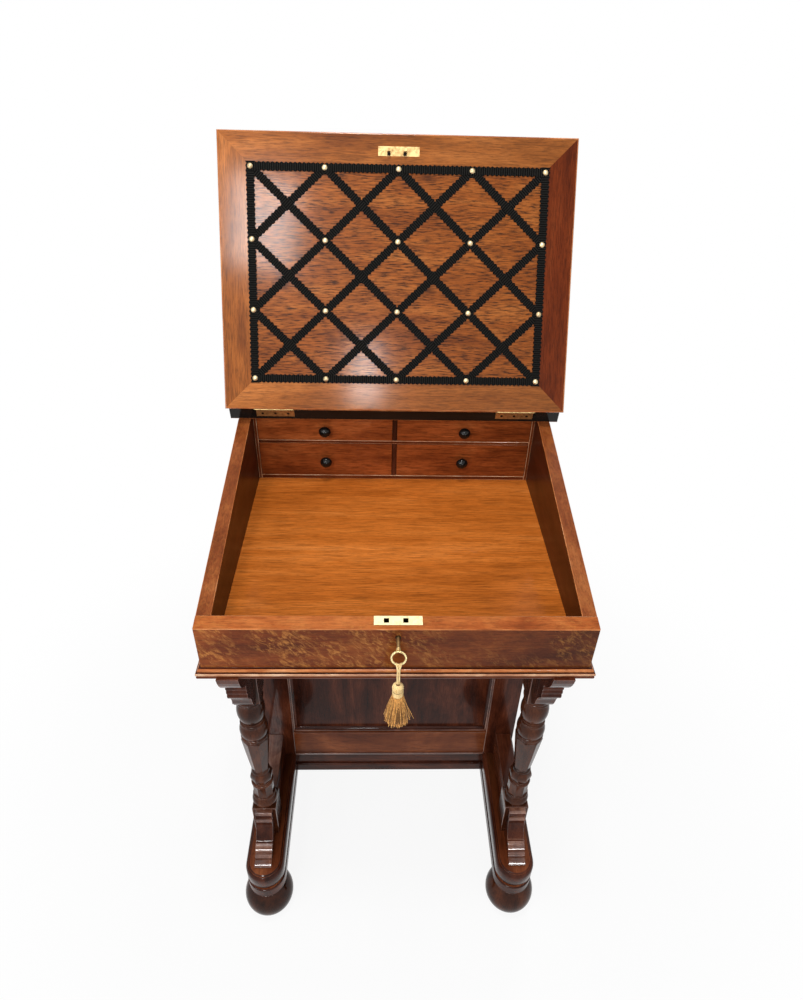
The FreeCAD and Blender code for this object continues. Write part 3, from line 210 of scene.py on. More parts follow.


# tones run from the dark figure to the light
# the fall-off setting in these entries is painted shade: the lid, its border and the box front darken towards
# the right, and the runner's top darkens towards the back
woods = {
    "lidWood": dict(
        tones=[(0.2, 0.047, 0.0055), (0.285, 0.072, 0.0095), (0.335, 0.091, 0.0135), (0.43, 0.135, 0.026)],
        mottle=(8, 30), dashes=0.85, knots=0.9, coat=0.22, fibreLength=60, shadeFade=0.12),
    "lidEdge": dict(
        tones=[(0.19, 0.048, 0.007), (0.3, 0.085, 0.013), (0.39, 0.118, 0.021), (0.52, 0.175, 0.04)],
        mottle=(4, 12), dashes=0.4, coat=0.24, shadeFade=0.3),
    # the right-hand border board in darker, redder tones: painted shade
    "lidEdgeShaded": dict(
        tones=[(0.075, 0.012, 0.0025), (0.11, 0.018, 0.0035), (0.145, 0.025, 0.005), (0.2, 0.042, 0.01)],
        mottle=(4, 12), dashes=0.4, coat=0.06),
    "floorWood": dict(
        tones=[(0.4, 0.1, 0.011), (0.51, 0.133, 0.017), (0.59, 0.165, 0.024), (0.7, 0.22, 0.042)],
        mottle=(2, 8), bands=70, dashes=0.42, rough=0.42, coat=0.08, fibreLength=22),
    "frontWood": dict(
        tones=[(0.1, 0.019, 0.004), (0.165, 0.034, 0.007), (0.235, 0.053, 0.0105), (0.33, 0.088, 0.018)],
        mottle=(8, 14), figure=0.85, dashes=0.3, rough=0.32, coat=0.14, coatRough=0.1, shadeFade=0.5),
    "drawerWood": dict(
        tones=[(0.13, 0.026, 0.006), (0.22, 0.048, 0.0105), (0.3, 0.07, 0.016), (0.4, 0.11, 0.03)],
        mottle=(6, 20), dashes=0.45),
    "caseWood": dict(
        tones=[(0.06, 0.012, 0.0035), (0.105, 0.022, 0.006), (0.15, 0.034, 0.009), (0.22, 0.06, 0.018)],
        mottle=(5, 12), dashes=0.35),
    "rimWood": dict(
        tones=[(0.25, 0.053, 0.01), (0.34, 0.08, 0.016), (0.43, 0.115, 0.025), (0.55, 0.175, 0.044)],
        mottle=(14, 26), figure=0.35, dashes=0.3),
    "sideRim": dict(
        tones=[(0.15, 0.033, 0.0075), (0.21, 0.05, 0.012), (0.27, 0.072, 0.018), (0.36, 0.115, 0.032)],
        mottle=(14, 26), figure=0.2, dashes=0.3),
    # the well's inner walls: dark tones as painted shade inside the well
    "sideInnerShaded": dict(
        tones=[(0.026, 0.0048, 0.0018), (0.044, 0.0085, 0.0032), (0.064, 0.0135, 0.0048), (0.1, 0.025, 0.009)],
        mottle=(5, 12), dashes=0.35),
    # lighter tones on rounded edges and on the moulding's bead: painted highlight where light catches them
    "edgeHighlightWood": dict(
        tones=[(0.3, 0.078, 0.018), (0.42, 0.125, 0.033), (0.52, 0.185, 0.058), (0.66, 0.3, 0.13)],
        mottle=(20, 20), dashes=0.25, rough=0.26, coat=0.25, shine=0.1),
    "darkWood": dict(
        tones=[(0.02, 0.0045, 0.0022), (0.046, 0.0105, 0.0046), (0.08, 0.019, 0.008), (0.14, 0.038, 0.016)],
        mottle=(7, 14), dashes=0.3, rough=0.22, coat=0.2, coatRough=0.05, shine=0.05),
    "turnedWood": dict(
        tones=[(0.017, 0.0045, 0.0017), (0.04, 0.0105, 0.0038), (0.07, 0.019, 0.007), (0.12, 0.036, 0.014)],
        mottle=(7, 14), dashes=0.3, rough=0.2, coat=0.3, coatRough=0.03, shine=0.04),
    # the runner's top: lighter tones as painted light on the lit upper face, darkened towards the back as
    # painted shadow from the writing box
    "runnerTop": dict(
        tones=[(0.08, 0.018, 0.006), (0.14, 0.034, 0.011), (0.2, 0.054, 0.018), (0.3, 0.095, 0.034)],
        mottle=(6, 12), dashes=0.3, rough=0.3, coatRough=0.1, shine=0.05, shadeFade=0.72,
        shadeOver=("Y", -0.2, -0.04)),
    # the dark wood's edges and beads in lighter tones: painted highlight, with a real glossy coat
    "darkEdgeHighlight": dict(
        tones=[(0.05, 0.016, 0.009), (0.1, 0.034, 0.02), (0.18, 0.068, 0.04), (0.34, 0.16, 0.1)],
        mottle=(16, 16), dashes=0.2, rough=0.2, coat=0.8, coatRough=0.05, shine=0.3),
    "litWood": dict(
        tones=[(0.1, 0.023, 0.007), (0.17, 0.043, 0.013), (0.24, 0.067, 0.021), (0.34, 0.11, 0.038)],
        mottle=(6, 12), dashes=0.3, rough=0.3, coat=0.14, coatRough=0.1, shine=0.05),
    "innerWood": dict(
        tones=[(0.14, 0.06, 0.026), (0.24, 0.11, 0.048), (0.32, 0.16, 0.075), (0.42, 0.23, 0.12)],
        rough=0.55, coat=0.0, pores=0.6, dust=0.3),
    # a pale, near-white tone for the moulding's fillet and the nest's front arrises: painted highlight
    "paleHighlightWood": dict(
        tones=[(0.38, 0.15, 0.065), (0.54, 0.25, 0.125), (0.68, 0.39, 0.22), (0.84, 0.58, 0.4)],
        mottle=(22, 22), dashes=0.22, rough=0.22, coat=0.4, coatRough=0.08, shine=0.2),
    "blackWood": dict(
        tones=[(0.004, 0.0035, 0.003), (0.006, 0.005, 0.0045), (0.008, 0.007, 0.006), (0.012, 0.01, 0.009)],
        dashes=0.1, pores=0.2, rough=0.14, coat=0.3, coatRough=0.04, shine=0.1),
}
skins = {name: woodSkin(name, **facts) for name, facts in woods.items()}


# ---- brass, leather, ribbon and silk
def brassSkin(name, colour, dull, rough):
    skin, tree, gloss = startSkin(name)
    place = objectPlace(tree)
    stain = cloud(tree, stretched(tree, place, (120, 120, 120)), detail=5.0, rough=0.7)
    rub = cloud(tree, stretched(tree, place, (90, 1400, 1400)), detail=2.0)
    mixed = blend(tree, "MIX", ramp(tree, stain, [(0.42, 0.0), (0.72, 1.0)]), (*colour, 1.0), (*dull, 1.0))
    feed(tree, gloss, {"Base Color": mixed, "Metallic": 1.0,
                       "Roughness": sums(tree, "ADD", times(tree, stain, 0.3), rough - 0.12)})
    dentBy(tree, gloss, 0.15, 0.0002, sums(tree, "ADD", rub, stain))
    return skin


def ribbonSkin():
    skin, tree, gloss = startSkin("ribbon")
    place = grainPlace(tree)
    ribs = node(tree, "ShaderNodeTexWave",
                {"Scale": 1.0, "Distortion": 0.6, "Detail": 1.0, "bands_direction": "X"},
                {"Vector": stretched(tree, place, (91, 12, 0))}).outputs["Fac"]
    lint = times(tree, ribs, cloud(tree, stretched(tree, place, (900, 900, 900)), detail=2.0))
    colour = blend(tree, "MIX", lint, (0.001, 0.0009, 0.0008, 1.0), (0.03, 0.029, 0.026, 1.0))
    feed(tree, gloss, {"Base Color": colour, "Roughness": 0.8, "Specular IOR Level": 0.03})
    dentBy(tree, gloss, 0.6, 0.0003, ribs)
    return skin


def silkSkin(name, low, high):
    skin, tree, gloss = startSkin(name)
    strands = cloud(tree, stretched(tree, objectPlace(tree), (1500, 1500, 50)), detail=2.0)
    feed(tree, gloss, {"Base Color": ramp(tree, strands, [(0.38, low), (0.56, high)]),
                       "Roughness": 0.5, "Specular IOR Level": 0.2})
    dentBy(tree, gloss, 0.4, 0.0003, strands)
    return skin


def leatherSkin(half, near, far):
    # three lines of gold tooling run a little way in from the edge
    skin, tree, gloss = startSkin("leather")
    place = grainPlace(tree)
    apart = node(tree, "ShaderNodeSeparateXYZ", None, {"Vector": place})
    inset = None
    for letter, middle, reach in (("X", 0.0, half), ("Y", (near + far) / 2, (far - near) / 2)):
        offset = sums(tree, "ABSOLUTE", sums(tree, "SUBTRACT", apart.outputs[letter], middle), 0.0)
        room = sums(tree, "SUBTRACT", reach, offset)
        inset = room if inset is None else sums(tree, "MINIMUM", inset, room)
    gold = None
    for reach, wide in ((0.011, 0.0005), (0.0145, 0.0012), (0.018, 0.0005)):
        line = sums(tree, "COMPARE", inset, reach)
        line.node.inputs[2].default_value = wide
        gold = line if gold is None else sums(tree, "MAXIMUM", gold, line)
    pebble = node(tree, "ShaderNodeTexVoronoi", {"Scale": 900.0}, {"Vector": place}).outputs["Distance"]
    rub = cloud(tree, stretched(tree, place, (7, 7, 7)), detail=5.0, rough=0.65)
    hide = ramp(tree, rub, [(0.3, (0.035, 0.009, 0.007)), (0.55, (0.085, 0.019, 0.013)),
                            (0.75, (0.17, 0.05, 0.03))])
    hide = blend(tree, "MIX", times(tree, gold, 0.75), hide, (0.62, 0.42, 0.13, 1.0))
    feed(tree, gloss, {"Base Color": hide, "Roughness": 0.46})
    dentBy(tree, gloss, 0.35, 0.0004, sums(tree, "SUBTRACT", pebble, times(tree, gold, 1.5)))
    return skin


# the clean metal, the stained metal and how rough it is
brasses = {
    "paleBrass": ((0.8, 0.7, 0.4), (0.56, 0.44, 0.21), 0.38),
    "wornBrass": ((0.54, 0.38, 0.17), (0.2, 0.11, 0.04), 0.42),
    # near-black brass as painted shade, for brass that sits in a hole or in shadow
    "shadedBrass": ((0.05, 0.035, 0.02), (0.015, 0.01, 0.007), 0.5),
    "studBrass": ((0.83, 0.67, 0.4), (0.35, 0.24, 0.12), 0.42),
}
silks = {
    "silk": ((0.24, 0.085, 0.016), (0.8, 0.42, 0.125)),
    "silkHead": ((0.62, 0.38, 0.13), (0.95, 0.74, 0.38)),
    "silkShaded": ((0.08, 0.03, 0.008), (0.18, 0.08, 0.02)),
}
skins.update({name: brassSkin(name, *facts) for name, facts in brasses.items()})
skins.update({name: silkSkin(name, *facts) for name, facts in silks.items()})
skins["ribbon"] = ribbonSkin()
print("materials ready,", len(skins))


# ---- shapes
def startShape():
    shape = bmesh.new()
    shape.loops.layers.float_vector.new("grain")
    return shape


def since(shape, known):
    return [face for face in shape.faces if face not in known]


def cornersOf(parts):
    # each vertex once, in the order of the parts
    return list(dict.fromkeys(vert for part in parts for vert in part.verts))


def rimsOf(faces):
    return list(dict.fromkeys(rim for face in faces if face.is_valid for rim in face.edges))


def vertsOf(parts):
    return [part for part in parts if isinstance(part, bmesh.types.BMVert)]


def bevelled(shape, rims, edge, steps=2, clamp=False):
    return bmesh.ops.bevel(shape, geom=rims, offset=edge / 1000, offset_type="OFFSET", segments=steps,
                           profile=0.5, affect="EDGES", material=-1, clamp_overlap=clamp)["faces"]


def markGrain(shape, faces, along="x", wander=True, turned=None):
    # each board carries its own grain: first value along the fibres, the others across
    layer = shape.loops.layers.float_vector["grain"]
    order = {"x": (0, 1, 2), "y": (1, 0, 2), "z": (2, 0, 1)}[along]
    shift = Vector([dice.uniform(-4, 4) if wander else 0.0 for _ in order])
    for face in faces:
        for loop in face.loops:
            point = turned @ loop.vert.co if turned else loop.vert.co
            loop[layer] = Vector([point[i] for i in order]) + shift


def addBoard(shape, low, high, along="x", edge=0.8, skin=0, edgeSkin=None, steps=2, turned=None):
    known = set(shape.faces)
    low, high = Vector(low), Vector(high)
    made = bmesh.ops.create_cube(shape, size=1.0)["verts"]
    bmesh.ops.scale(shape, vec=high - low, verts=made)
    bmesh.ops.translate(shape, vec=(low + high) / 2, verts=made)
    rims = list(dict.fromkeys(rim for vert in made for rim in vert.link_edges))
    rounded = bevelled(shape, rims, edge, steps) if edge else []
    faces = since(shape, known)
    for face in faces:
        face.material_index = skin
    if edgeSkin is not None:
        for face in rounded:
            face.material_index = edgeSkin
    markGrain(shape, faces, along)
    if turned:
        bmesh.ops.transform(shape, matrix=turned, verts=cornersOf(faces))
    return faces


def finishPiece(shape, name, body, uses, replaced=(), sharp=38.0, normals=True):
    if normals:
        bmesh.ops.recalc_face_normals(shape, faces=shape.faces)
    for rim in shape.edges:
        if len(rim.link_faces) == 2:
            rim.smooth = rim.calc_face_angle(0.0) < math.radians(sharp)
    mesh = bpy.data.meshes.new(name)
    shape.to_mesh(mesh)
    shape.free()
    for use in uses:
        mesh.materials.append(skins[use])
    piece = bpy.data.objects.new(name, mesh)
    scene.collection.objects.link(piece)
    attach(piece, body)
    if replaced:
        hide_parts(*replaced)


def finishDark(shape, name, replaced, uses=("darkWood", "darkEdgeHighlight"), body="carcass", sharp=38.0):
    finishPiece(shape, name, body, uses, [replaced], sharp)


def solidOf(name):
    shape = startShape()
    shape.from_mesh(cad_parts[name].data)
    bmesh.ops.remove_doubles(shape, verts=shape.verts, dist=1e-5)
    return shape


def dressed(name, body, uses, along="x", edge=0.8, longer=30.0, edgeSkin=1, choose=None):
    # a copy of a construction solid, with its long edges softened
    shape = solidOf(name)
    bmesh.ops.dissolve_limit(shape, angle_limit=math.radians(1.0), verts=shape.verts, edges=shape.edges)
    rims = [rim for rim in shape.edges if len(rim.link_faces) == 2
            and rim.calc_face_angle(0.0) > math.radians(30) and rim.calc_length() > longer / 1000]
    rounded = bevelled(shape, rims, edge) if edge and rims else []
    for face in shape.faces:
        face.material_index = choose(face) if choose else 0
        face.smooth = False
    for face in rounded:
        face.material_index = edgeSkin(face) if callable(edgeSkin) else edgeSkin
    markGrain(shape, shape.faces, along)
    finishPiece(shape, name + "_dressed", body, uses, [name], normals=False)


def arcThrough(start, middle, end):
    # centre and sweep of the circle through three points given as (radius, height)
    (ax, ay), (bx, by), (cx, cy) = start, middle, end
    d = 2 * (ax * (by - cy) + bx * (cy - ay) + cx * (ay - by))
    ux = ((ax * ax + ay * ay) * (by - cy) + (bx * bx + by * by) * (cy - ay)
          + (cx * cx + cy * cy) * (ay - by)) / d
    uy = ((ax * ax + ay * ay) * (cx - bx) + (bx * bx + by * by) * (ax - cx)
          + (cx * cx + cy * cy) * (bx - ax)) / d
    first = math.atan2(ay - uy, ax - ux)
    through = (math.atan2(by - uy, bx - ux) - first) % math.tau
    sweep = (math.atan2(cy - uy, cx - ux) - first) % math.tau
    if through > sweep:
        sweep -= math.tau
    return (ux, uy), sweep


def addTurning(shape, members, start, low=0.0, steps=40, facets=0, skin=0, along="z", place=None,
               arcSteps=8):
    # members are (height, end radius, middle radius or None) in millimetres, from the bottom up
    known = set(shape.faces)
    tip = shape.verts.new((0, 0, low / 1000))
    rim = shape.verts.new((start / 1000, 0, low / 1000))
    chain = [shape.edges.new((tip, rim))]
    last, radius, height = rim, start, low
    for rise, end, middle in members:
        if middle is None:
            for goal in ((radius, height + rise), (end, height + rise)):
                if (Vector((goal[0], 0, goal[1])) / 1000 - last.co).length > 1e-6:
                    following = shape.verts.new((goal[0] / 1000, 0, goal[1] / 1000))
                    chain.append(shape.edges.new((last, following)))
                    last = following
        else:
            centre, sweep = arcThrough((radius, height), (middle, height + rise / 2), (end, height + rise))
            swept = bmesh.ops.spin(shape, geom=[last], cent=(centre[0] / 1000, 0, centre[1] / 1000),
                                   axis=(0, -1, 0), angle=sweep, steps=arcSteps)
            last = vertsOf(swept["geom_last"])[0]
        radius, height = end, height + rise
    if radius > 0:
        top = shape.verts.new((0, 0, height / 1000))
        chain.append(shape.edges.new((last, top)))
    wires = [part for part in shape.edges if not part.link_faces]
    corners = cornersOf(wires)
    if facets:
        bmesh.ops.rotate(shape, cent=(0, 0, 0), matrix=Matrix.Rotation(math.pi / facets, 3, "Z"), verts=corners)
    bmesh.ops.spin(shape, geom=wires + corners, cent=(0, 0, 0), axis=(0, 0, 1), angle=math.tau,
                   steps=facets or steps, use_merge=True)
    # a tip of 0.001 mm closes to one point, well within this distance
    bmesh.ops.remove_doubles(shape, verts=cornersOf(since(shape, known)), dist=5e-6)
    faces = since(shape, known)
    bmesh.ops.recalc_face_normals(shape, faces=faces)
    for face in faces:
        face.smooth = not facets
        face.material_index = skin
    markGrain(shape, faces, along)
    if place:
        bmesh.ops.transform(shape, matrix=place, verts=cornersOf(faces))


def sweepSection(shape, section, stations, closed=False, along="x", skinOf=None, smooth=False):
    # a moulding: the section's (out, up) points are set down at each station and the loops are bridged
    known = set(shape.faces)
    loops = []
    for origin, out, up in stations:
        ring = [shape.verts.new(Vector(origin) + Vector(out) * o / 1000 + Vector(up) * u / 1000)
                for o, u in section]
        loops.append([shape.edges.new((ring[i - 1], ring[i])) for i in range(len(ring))])
    pairs = list(zip(loops, loops[1:])) + ([(loops[-1], loops[0])] if closed else [])
    runs = []
    for first, second in pairs:
        runs.append(bmesh.ops.bridge_loops(shape, edges=first + second)["faces"])
    if not closed:
        for cap in (loops[0], loops[-1]):
            bmesh.ops.contextual_create(shape, geom=cap)
    faces = since(shape, known)
    bmesh.ops.recalc_face_normals(shape, faces=faces)
    letters = along if isinstance(along, (list, tuple)) else [along] * len(runs)
    for run, letter in zip(runs, letters):
        markGrain(shape, run, letter)
    for face in faces:
        face.smooth = smooth
        if skinOf:
            face.material_index = skinOf(face)


def slabFace(shape, outline, axis, low, high, skin=0, along="x", arcSteps=6):
    # an outline of corners and (middle, end) arcs drawn across an axis and carried from low to high
    known = set(shape.faces)
    def lift(a, b):
        return Vector({"x": (low, a, b), "y": (a, low, b), "z": (a, b, low)}[axis]) / 1000
    points = [lift(*outline[0][-2:])]
    for step, before in zip(outline[1:], outline):
        if len(step) == 4:
            centre, sweep = arcThrough(before[-2:], step[:2], step[2:])
            start = Vector(before[-2:]) - Vector(centre)
            for n in range(1, arcSteps):
                turn = Matrix.Rotation(sweep * n / arcSteps, 2)
                points.append(lift(*(Vector(centre) + turn @ start)))
        points.append(lift(*step[-2:]))
    face = shape.faces.new([shape.verts.new(point) for point in points])
    grown = bmesh.ops.extrude_face_region(shape, geom=[face])["geom"]
    push = Vector({"x": (1, 0, 0), "y": (0, 1, 0), "z": (0, 0, 1)}[axis]) * (high - low) / 1000
    bmesh.ops.translate(shape, vec=push, verts=vertsOf(grown))
    faces = since(shape, known)
    bmesh.ops.recalc_face_normals(shape, faces=faces)
    for part in faces:
        part.material_index = skin
    markGrain(shape, faces, along)
    return faces


def softenEdges(shape, faces, edge, over=30.0, edgeSkin=None):
    rims = [rim for rim in rimsOf(faces)
            if len(rim.link_faces) == 2 and rim.calc_face_angle(0.0) > math.radians(over)]
    rounded = bevelled(shape, rims, edge, clamp=True)
    if edgeSkin is not None:
        for face in rounded:
            face.material_index = edgeSkin


# ---- runners, feet and cross rails
base = {"runnerX": 228.2, "footHigh": 74.7, "runnerTop": 138.3, "half": 34.5, "front": -26.7, "back": 553.0,
        "feetY": (6.0, 515.0), "railHalf": 193.7, "railHigh": 63.6, "railDeep": 24.0,
        "railFaces": ((228.0, -1), (537.0, 1))}
# the runner's side, from the bottom up: (in from the widest line, height above the runner's underside)
runnerSection = [(0.8, 0.0), (0.0, 0.8), (0.0, 19.5), (0.6, 20.6), (2.2, 21.6), (4.6, 22.0), (5.0, 23.2),
                 (5.0, 28.6), (4.2, 30.4), (2.6, 31.6), (0.4, 32.2), (0.0, 33.2), (0.0, 53.6), (0.7, 57.4),
                 (2.4, 60.2), (4.6, 61.4), (5.2, 61.5), (5.6, 62.6), (7.4, 63.6)]
footMembers = [(68.0, 28.4, 44.5), (2.2, 31.5, None), (4.5, 31.5, 29.8)]


def makeRunner(side, sign):
    shape = startShape()
    centre = sign * base["runnerX"]
    backY = base["back"] - base["half"]
    frontY = base["front"] + base["half"]
    ring = [shape.verts.new(((base["half"] - o) / 1000, 0, (base["footHigh"] + u) / 1000))
            for o, u in runnerSection]
    wires = [shape.edges.new(pair) for pair in zip(ring, ring[1:])]
    bmesh.ops.translate(shape, vec=spot(0, backY, 0), verts=ring)

    def halfTurn(parts, y):
        swept = bmesh.ops.spin(shape, geom=parts, cent=spot(0, y, 0), axis=(0, 0, 1), angle=math.pi, steps=22)
        return swept["geom_last"]

    def carry(parts, y):
        edges = [part for part in parts if isinstance(part, bmesh.types.BMEdge)]
        grown = bmesh.ops.extrude_edge_only(shape, edges=edges)["geom"]
        bmesh.ops.translate(shape, vec=(0, y / 1000, 0), verts=vertsOf(grown))
        return grown

    turned = halfTurn(ring + wires, backY)
    straight = carry(turned, frontY - backY)
    straight = [part for part in straight if not isinstance(part, bmesh.types.BMFace)]
    turned = halfTurn(straight, frontY)
    carry(turned, backY - frontY)
    bmesh.ops.remove_doubles(shape, verts=shape.verts, dist=1e-6)
    bmesh.ops.holes_fill(shape, edges=[rim for rim in shape.edges if rim.is_boundary], sides=0)
    for face in shape.faces:
        face.smooth = len(face.verts) < 6
    bmesh.ops.translate(shape, vec=(centre / 1000, 0, 0), verts=shape.verts)
    # the flat top and underside take the runner's top tones, lighter as painted light on the lit top
    for face in shape.faces:
        if abs(face.normal.z) > 0.98:
            face.material_index = 1
    markGrain(shape, shape.faces, "y")
    finishDark(shape, f"runner_{side}_moulded", f"runner_{side}", ["darkWood", "runnerTop"], sharp=24.0)


makeRunner("left", -1)
makeRunner("right", 1)

shape = startShape()
for sign in (-1, 1):
    for y in base["feetY"]:
        addTurning(shape, footMembers, 28.4, steps=48, arcSteps=14,
                   place=Matrix.Translation(spot(sign * base["runnerX"], y, 0)))
finishDark(shape, "bun_feet_turned", "bun_feet", ["turnedWood"])

# the cross rails carry the runners' moulding on the side that is seen
shape = startShape()
railSection = [(-o, u) for o, u in runnerSection]
railSection += [(-base["railDeep"], base["railHigh"]), (-base["railDeep"], 0.0)]
for face, out in base["railFaces"]:
    stations = [(spot(x, face, base["footHigh"]), (0, out, 0), (0, 0, 1))
                for x in (-base["railHalf"], base["railHalf"])]
    sweepSection(shape, railSection, stations)
finishDark(shape, "cross_rails_finished", "cross_rails", ["darkWood"], sharp=24.0)
print("base done")

# ---- columns: (name, height, end radius, middle radius, faceted)
column = {
    "x": 229.5, "y": 79.5, "block": 43.0, "low": 220.1, "high": 517.5, "boxBase": 659.5, "start": 20.0,
    "members": [
        ("BaseBead", 18.0, 18.4, 22.4, False),
        ("Quirk", 2.0, 17.4, None, False),
        ("LowRing", 7.0, 17.4, 20.0, False),
        ("Drum", 30.0, 17.2, 16.8, True),
        ("BrightRing", 7.0, 16.8, 19.4, False),
        ("CupFillet", 3.5, 16.0, None, False),
        ("Cup", 24.5, 15.0, 18.6, True),
        ("NeckBead", 7.0, 14.0, 15.8, False),
        ("NeckFillet", 2.0, 13.8, None, False),
        ("Vase", 88.9, 22.2, 18.2, True),
        ("VaseTop", 4.0, 21.8, 22.9, False),
        ("UpperRing", 6.0, 21.0, 23.0, False),
        ("LowBulb", 27.0, 19.4, 23.4, False),
        ("BulbFillet", 2.0, 18.6, None, False),
        ("CollarRing", 6.0, 18.4, 20.9, False),
        ("Collar", 5.0, 18.4, 17.6, False),
        ("Ball", 41.0, 18.6, 23.0, False),
        ("BallFillet", 3.0, 18.6, None, False),
        ("NeckRing", 4.5, 20.0, 21.6, False),
        ("BallQuirk", 1.0, 20.0, None, False),
        ("TopRing", 8.0, 21.4, 22.8, False),
    ],
}


def makeColumn(side, sign):
    shape = startShape()
    x, y, half = sign * column["x"], column["y"], column["block"] / 2
    for z0, z1 in ((base["runnerTop"], column["low"]), (column["high"], column["boxBase"])):
        addBoard(shape, spot(x - half, y - half, z0), spot(x + half, y + half, z1), "z", 1.0, 0, 1)
    place = Matrix.Translation(spot(x, y, 0))
    radius, height = column["start"], column["low"]
    run, runStart, runLow = [], radius, height
    for name, rise, end, middle, faceted in column["members"] + [("", 0, 0, None, True)]:
        if faceted:
            if run:
                addTurning(shape, run, runStart, runLow, steps=44, place=place)
            if name:
                grow = 1.0 / math.cos(math.pi / 8) * 0.985
                addTurning(shape, [(rise, end * grow, middle * grow)], radius * grow, height, facets=8,
                           place=place, arcSteps=10)
            run, runStart, runLow = [], end, height + rise
        else:
            run.append((rise, end, middle))
        radius, height = end, height + rise
    finishDark(shape, f"column_{side}_turned", f"column_{side}", ["turnedWood", "darkEdgeHighlight"])


makeColumn("left", -1)
makeColumn("right", 1)

# ---- brackets; outlines run on (Y, Z), and four numbers are an arc's middle and its end
brackets = {
    "wide": 30.0, "boardY": (101.0, 225.0), "boardTop": 204.3,
    "toe": [(58.0, 138.3), (-6.5, 138.3), (-7.4, 140.6, -5.2, 142.6), (-3.0, 144.0, 0.0, 144.3), (6.6, 144.3),
            (5.6, 146.6, 7.0, 149.2), (8.6, 151.4, 12.0, 152.0), (14.4, 152.0), (13.7, 154.0, 14.9, 156.0),
            (16.4, 157.6, 19.0, 157.8), (19.6, 160.4, 22.0, 162.4), (25.0, 163.8, 29.0, 163.6),
            (39.4, 178.5, 44.0, 199.6), (42.6, 201.6, 43.8, 203.6), (45.4, 205.0, 48.4, 205.2), (48.4, 213.6),
            (47.2, 215.6, 48.4, 217.8), (50.0, 219.6, 52.6, 220.1), (58.0, 220.1)],
    "toeHighlights": [(138.0, 152.2), (153.6, 158.0), (159.2, 163.9), (200.6, 205.4), (214.6, 220.3)],
    "corbel": [(58.0, 659.5), (-12.0, 659.5), (-0.3, 630.5, 20.0, 609.0), (20.0, 606.5), (21.5, 606.5),
               (19.4, 602.0, 21.5, 597.5), (22.4, 596.5), (20.3, 592.0, 22.4, 587.5), (23.3, 586.5),
               (21.2, 582.0, 23.3, 577.5), (23.3, 576.5), (35.8, 559.3, 39.8, 547.8),
               (43.8, 536.2, 58.0, 519.0)],
}


def addBracket(shape, outline, sign, edge):
    # the outline's Y counts from the front of the writing box
    across = [sign * column["x"] + reach for reach in (-brackets["wide"] / 2, brackets["wide"] / 2)]
    placed = [tuple(v + frontFace * 1000 if i % 2 == 0 else v for i, v in enumerate(c)) for c in outline]
    softenEdges(shape, slabFace(shape, placed, "x", *across, along="z"), edge, edgeSkin=1)
    return across


shape = startShape()
for sign in (-1, 1):
    left, right = addBracket(shape, brackets["toe"], sign, 0.5)
    # the upward-facing nosings of the toe take the lighter edge tones: painted highlight bands
    for face in shape.faces:
        high = face.calc_center_median().z * 1000
        if face.normal.z > 0.25 and any(low < high < top for low, top in brackets["toeHighlights"]):
            face.material_index = 1
    near, far = brackets["boardY"]
    addBoard(shape, spot(left, near, base["runnerTop"]), spot(right, far, brackets["boardTop"]), "y", 0.8, 0, 1)
finishDark(shape, "lower_brackets_carved", "lower_brackets")
shape = startShape()
for sign in (-1, 1):
    addBracket(shape, brackets["corbel"], sign, 0.7)
finishDark(shape, "upper_brackets_carved", "upper_brackets")
print("columns and brackets done")

# ---- pedestal
pedestal = {"half": 250.0, "opening": 194.2, "front": 225.0, "back": 540.0, "thick": 30.0, "panelIn": 11.0,
            "panelThick": 8.0, "low": 138.3, "high": 659.5, "railLow": 208.6, "railHigh": 599.5}
dark = ["darkWood", "darkEdgeHighlight", "innerWood", "litWood"]
half, opening = pedestal["half"], pedestal["opening"]
for end, near, railSkin in (("front", pedestal["front"], 3), ("back", pedestal["back"] - pedestal["thick"], 0)):
    far = near + pedestal["thick"]
    shape = startShape()
    for x0, x1 in ((-half, -opening), (opening, half)):
        addBoard(shape, spot(x0, near, pedestal["low"]), spot(x1, far, pedestal["high"]), "z", 0.9, 0, 1)
    for z0, z1 in ((pedestal["low"], pedestal["railLow"]), (pedestal["railHigh"], pedestal["high"])):
        addBoard(shape, spot(-opening, near, z0), spot(opening, far, z1), "x", 0.6, railSkin, 1)
    finishDark(shape, f"pedestal_{end}_joined", f"pedestal_{end}_frame", dark)
    shape = startShape()
    panelNear = near + pedestal["panelIn"]
    addBoard(shape, spot(-opening, panelNear, pedestal["railLow"]),
             spot(opening, panelNear + pedestal["panelThick"], pedestal["railHigh"]), "z", 0.0)
    finishDark(shape, f"pedestal_{end}_fielded", f"pedestal_{end}_panel", ["darkWood"])

shape = startShape()
panelFace = pedestal["front"] + pedestal["panelIn"]
crest = spot(0, panelFace - 4.6, 0).y    # the bead's front, in front of this, takes the lighter edge tone as a painted highlight
beadSection = [(0.0, 0.0), (0.0, 7.0), (1.4, 7.0), (2.6, 6.4), (3.2, 5.0), (3.4, 3.6), (4.4, 2.6), (6.2, 1.9),
               (7.0, 0.9), (7.0, 0.0)]
corners = [(-1, -1), (1, -1), (1, 1), (-1, 1)]
stations = [(spot(h * opening, panelFace, pedestal["railLow"] if v < 0 else pedestal["railHigh"]),
             (-h, 0, -v), (0, -1, 0)) for h, v in corners]
sweepSection(shape, beadSection, stations, True, ["x", "z", "x", "z"],
             skinOf=lambda face: 1 if face.calc_center_median().y < crest else 0)
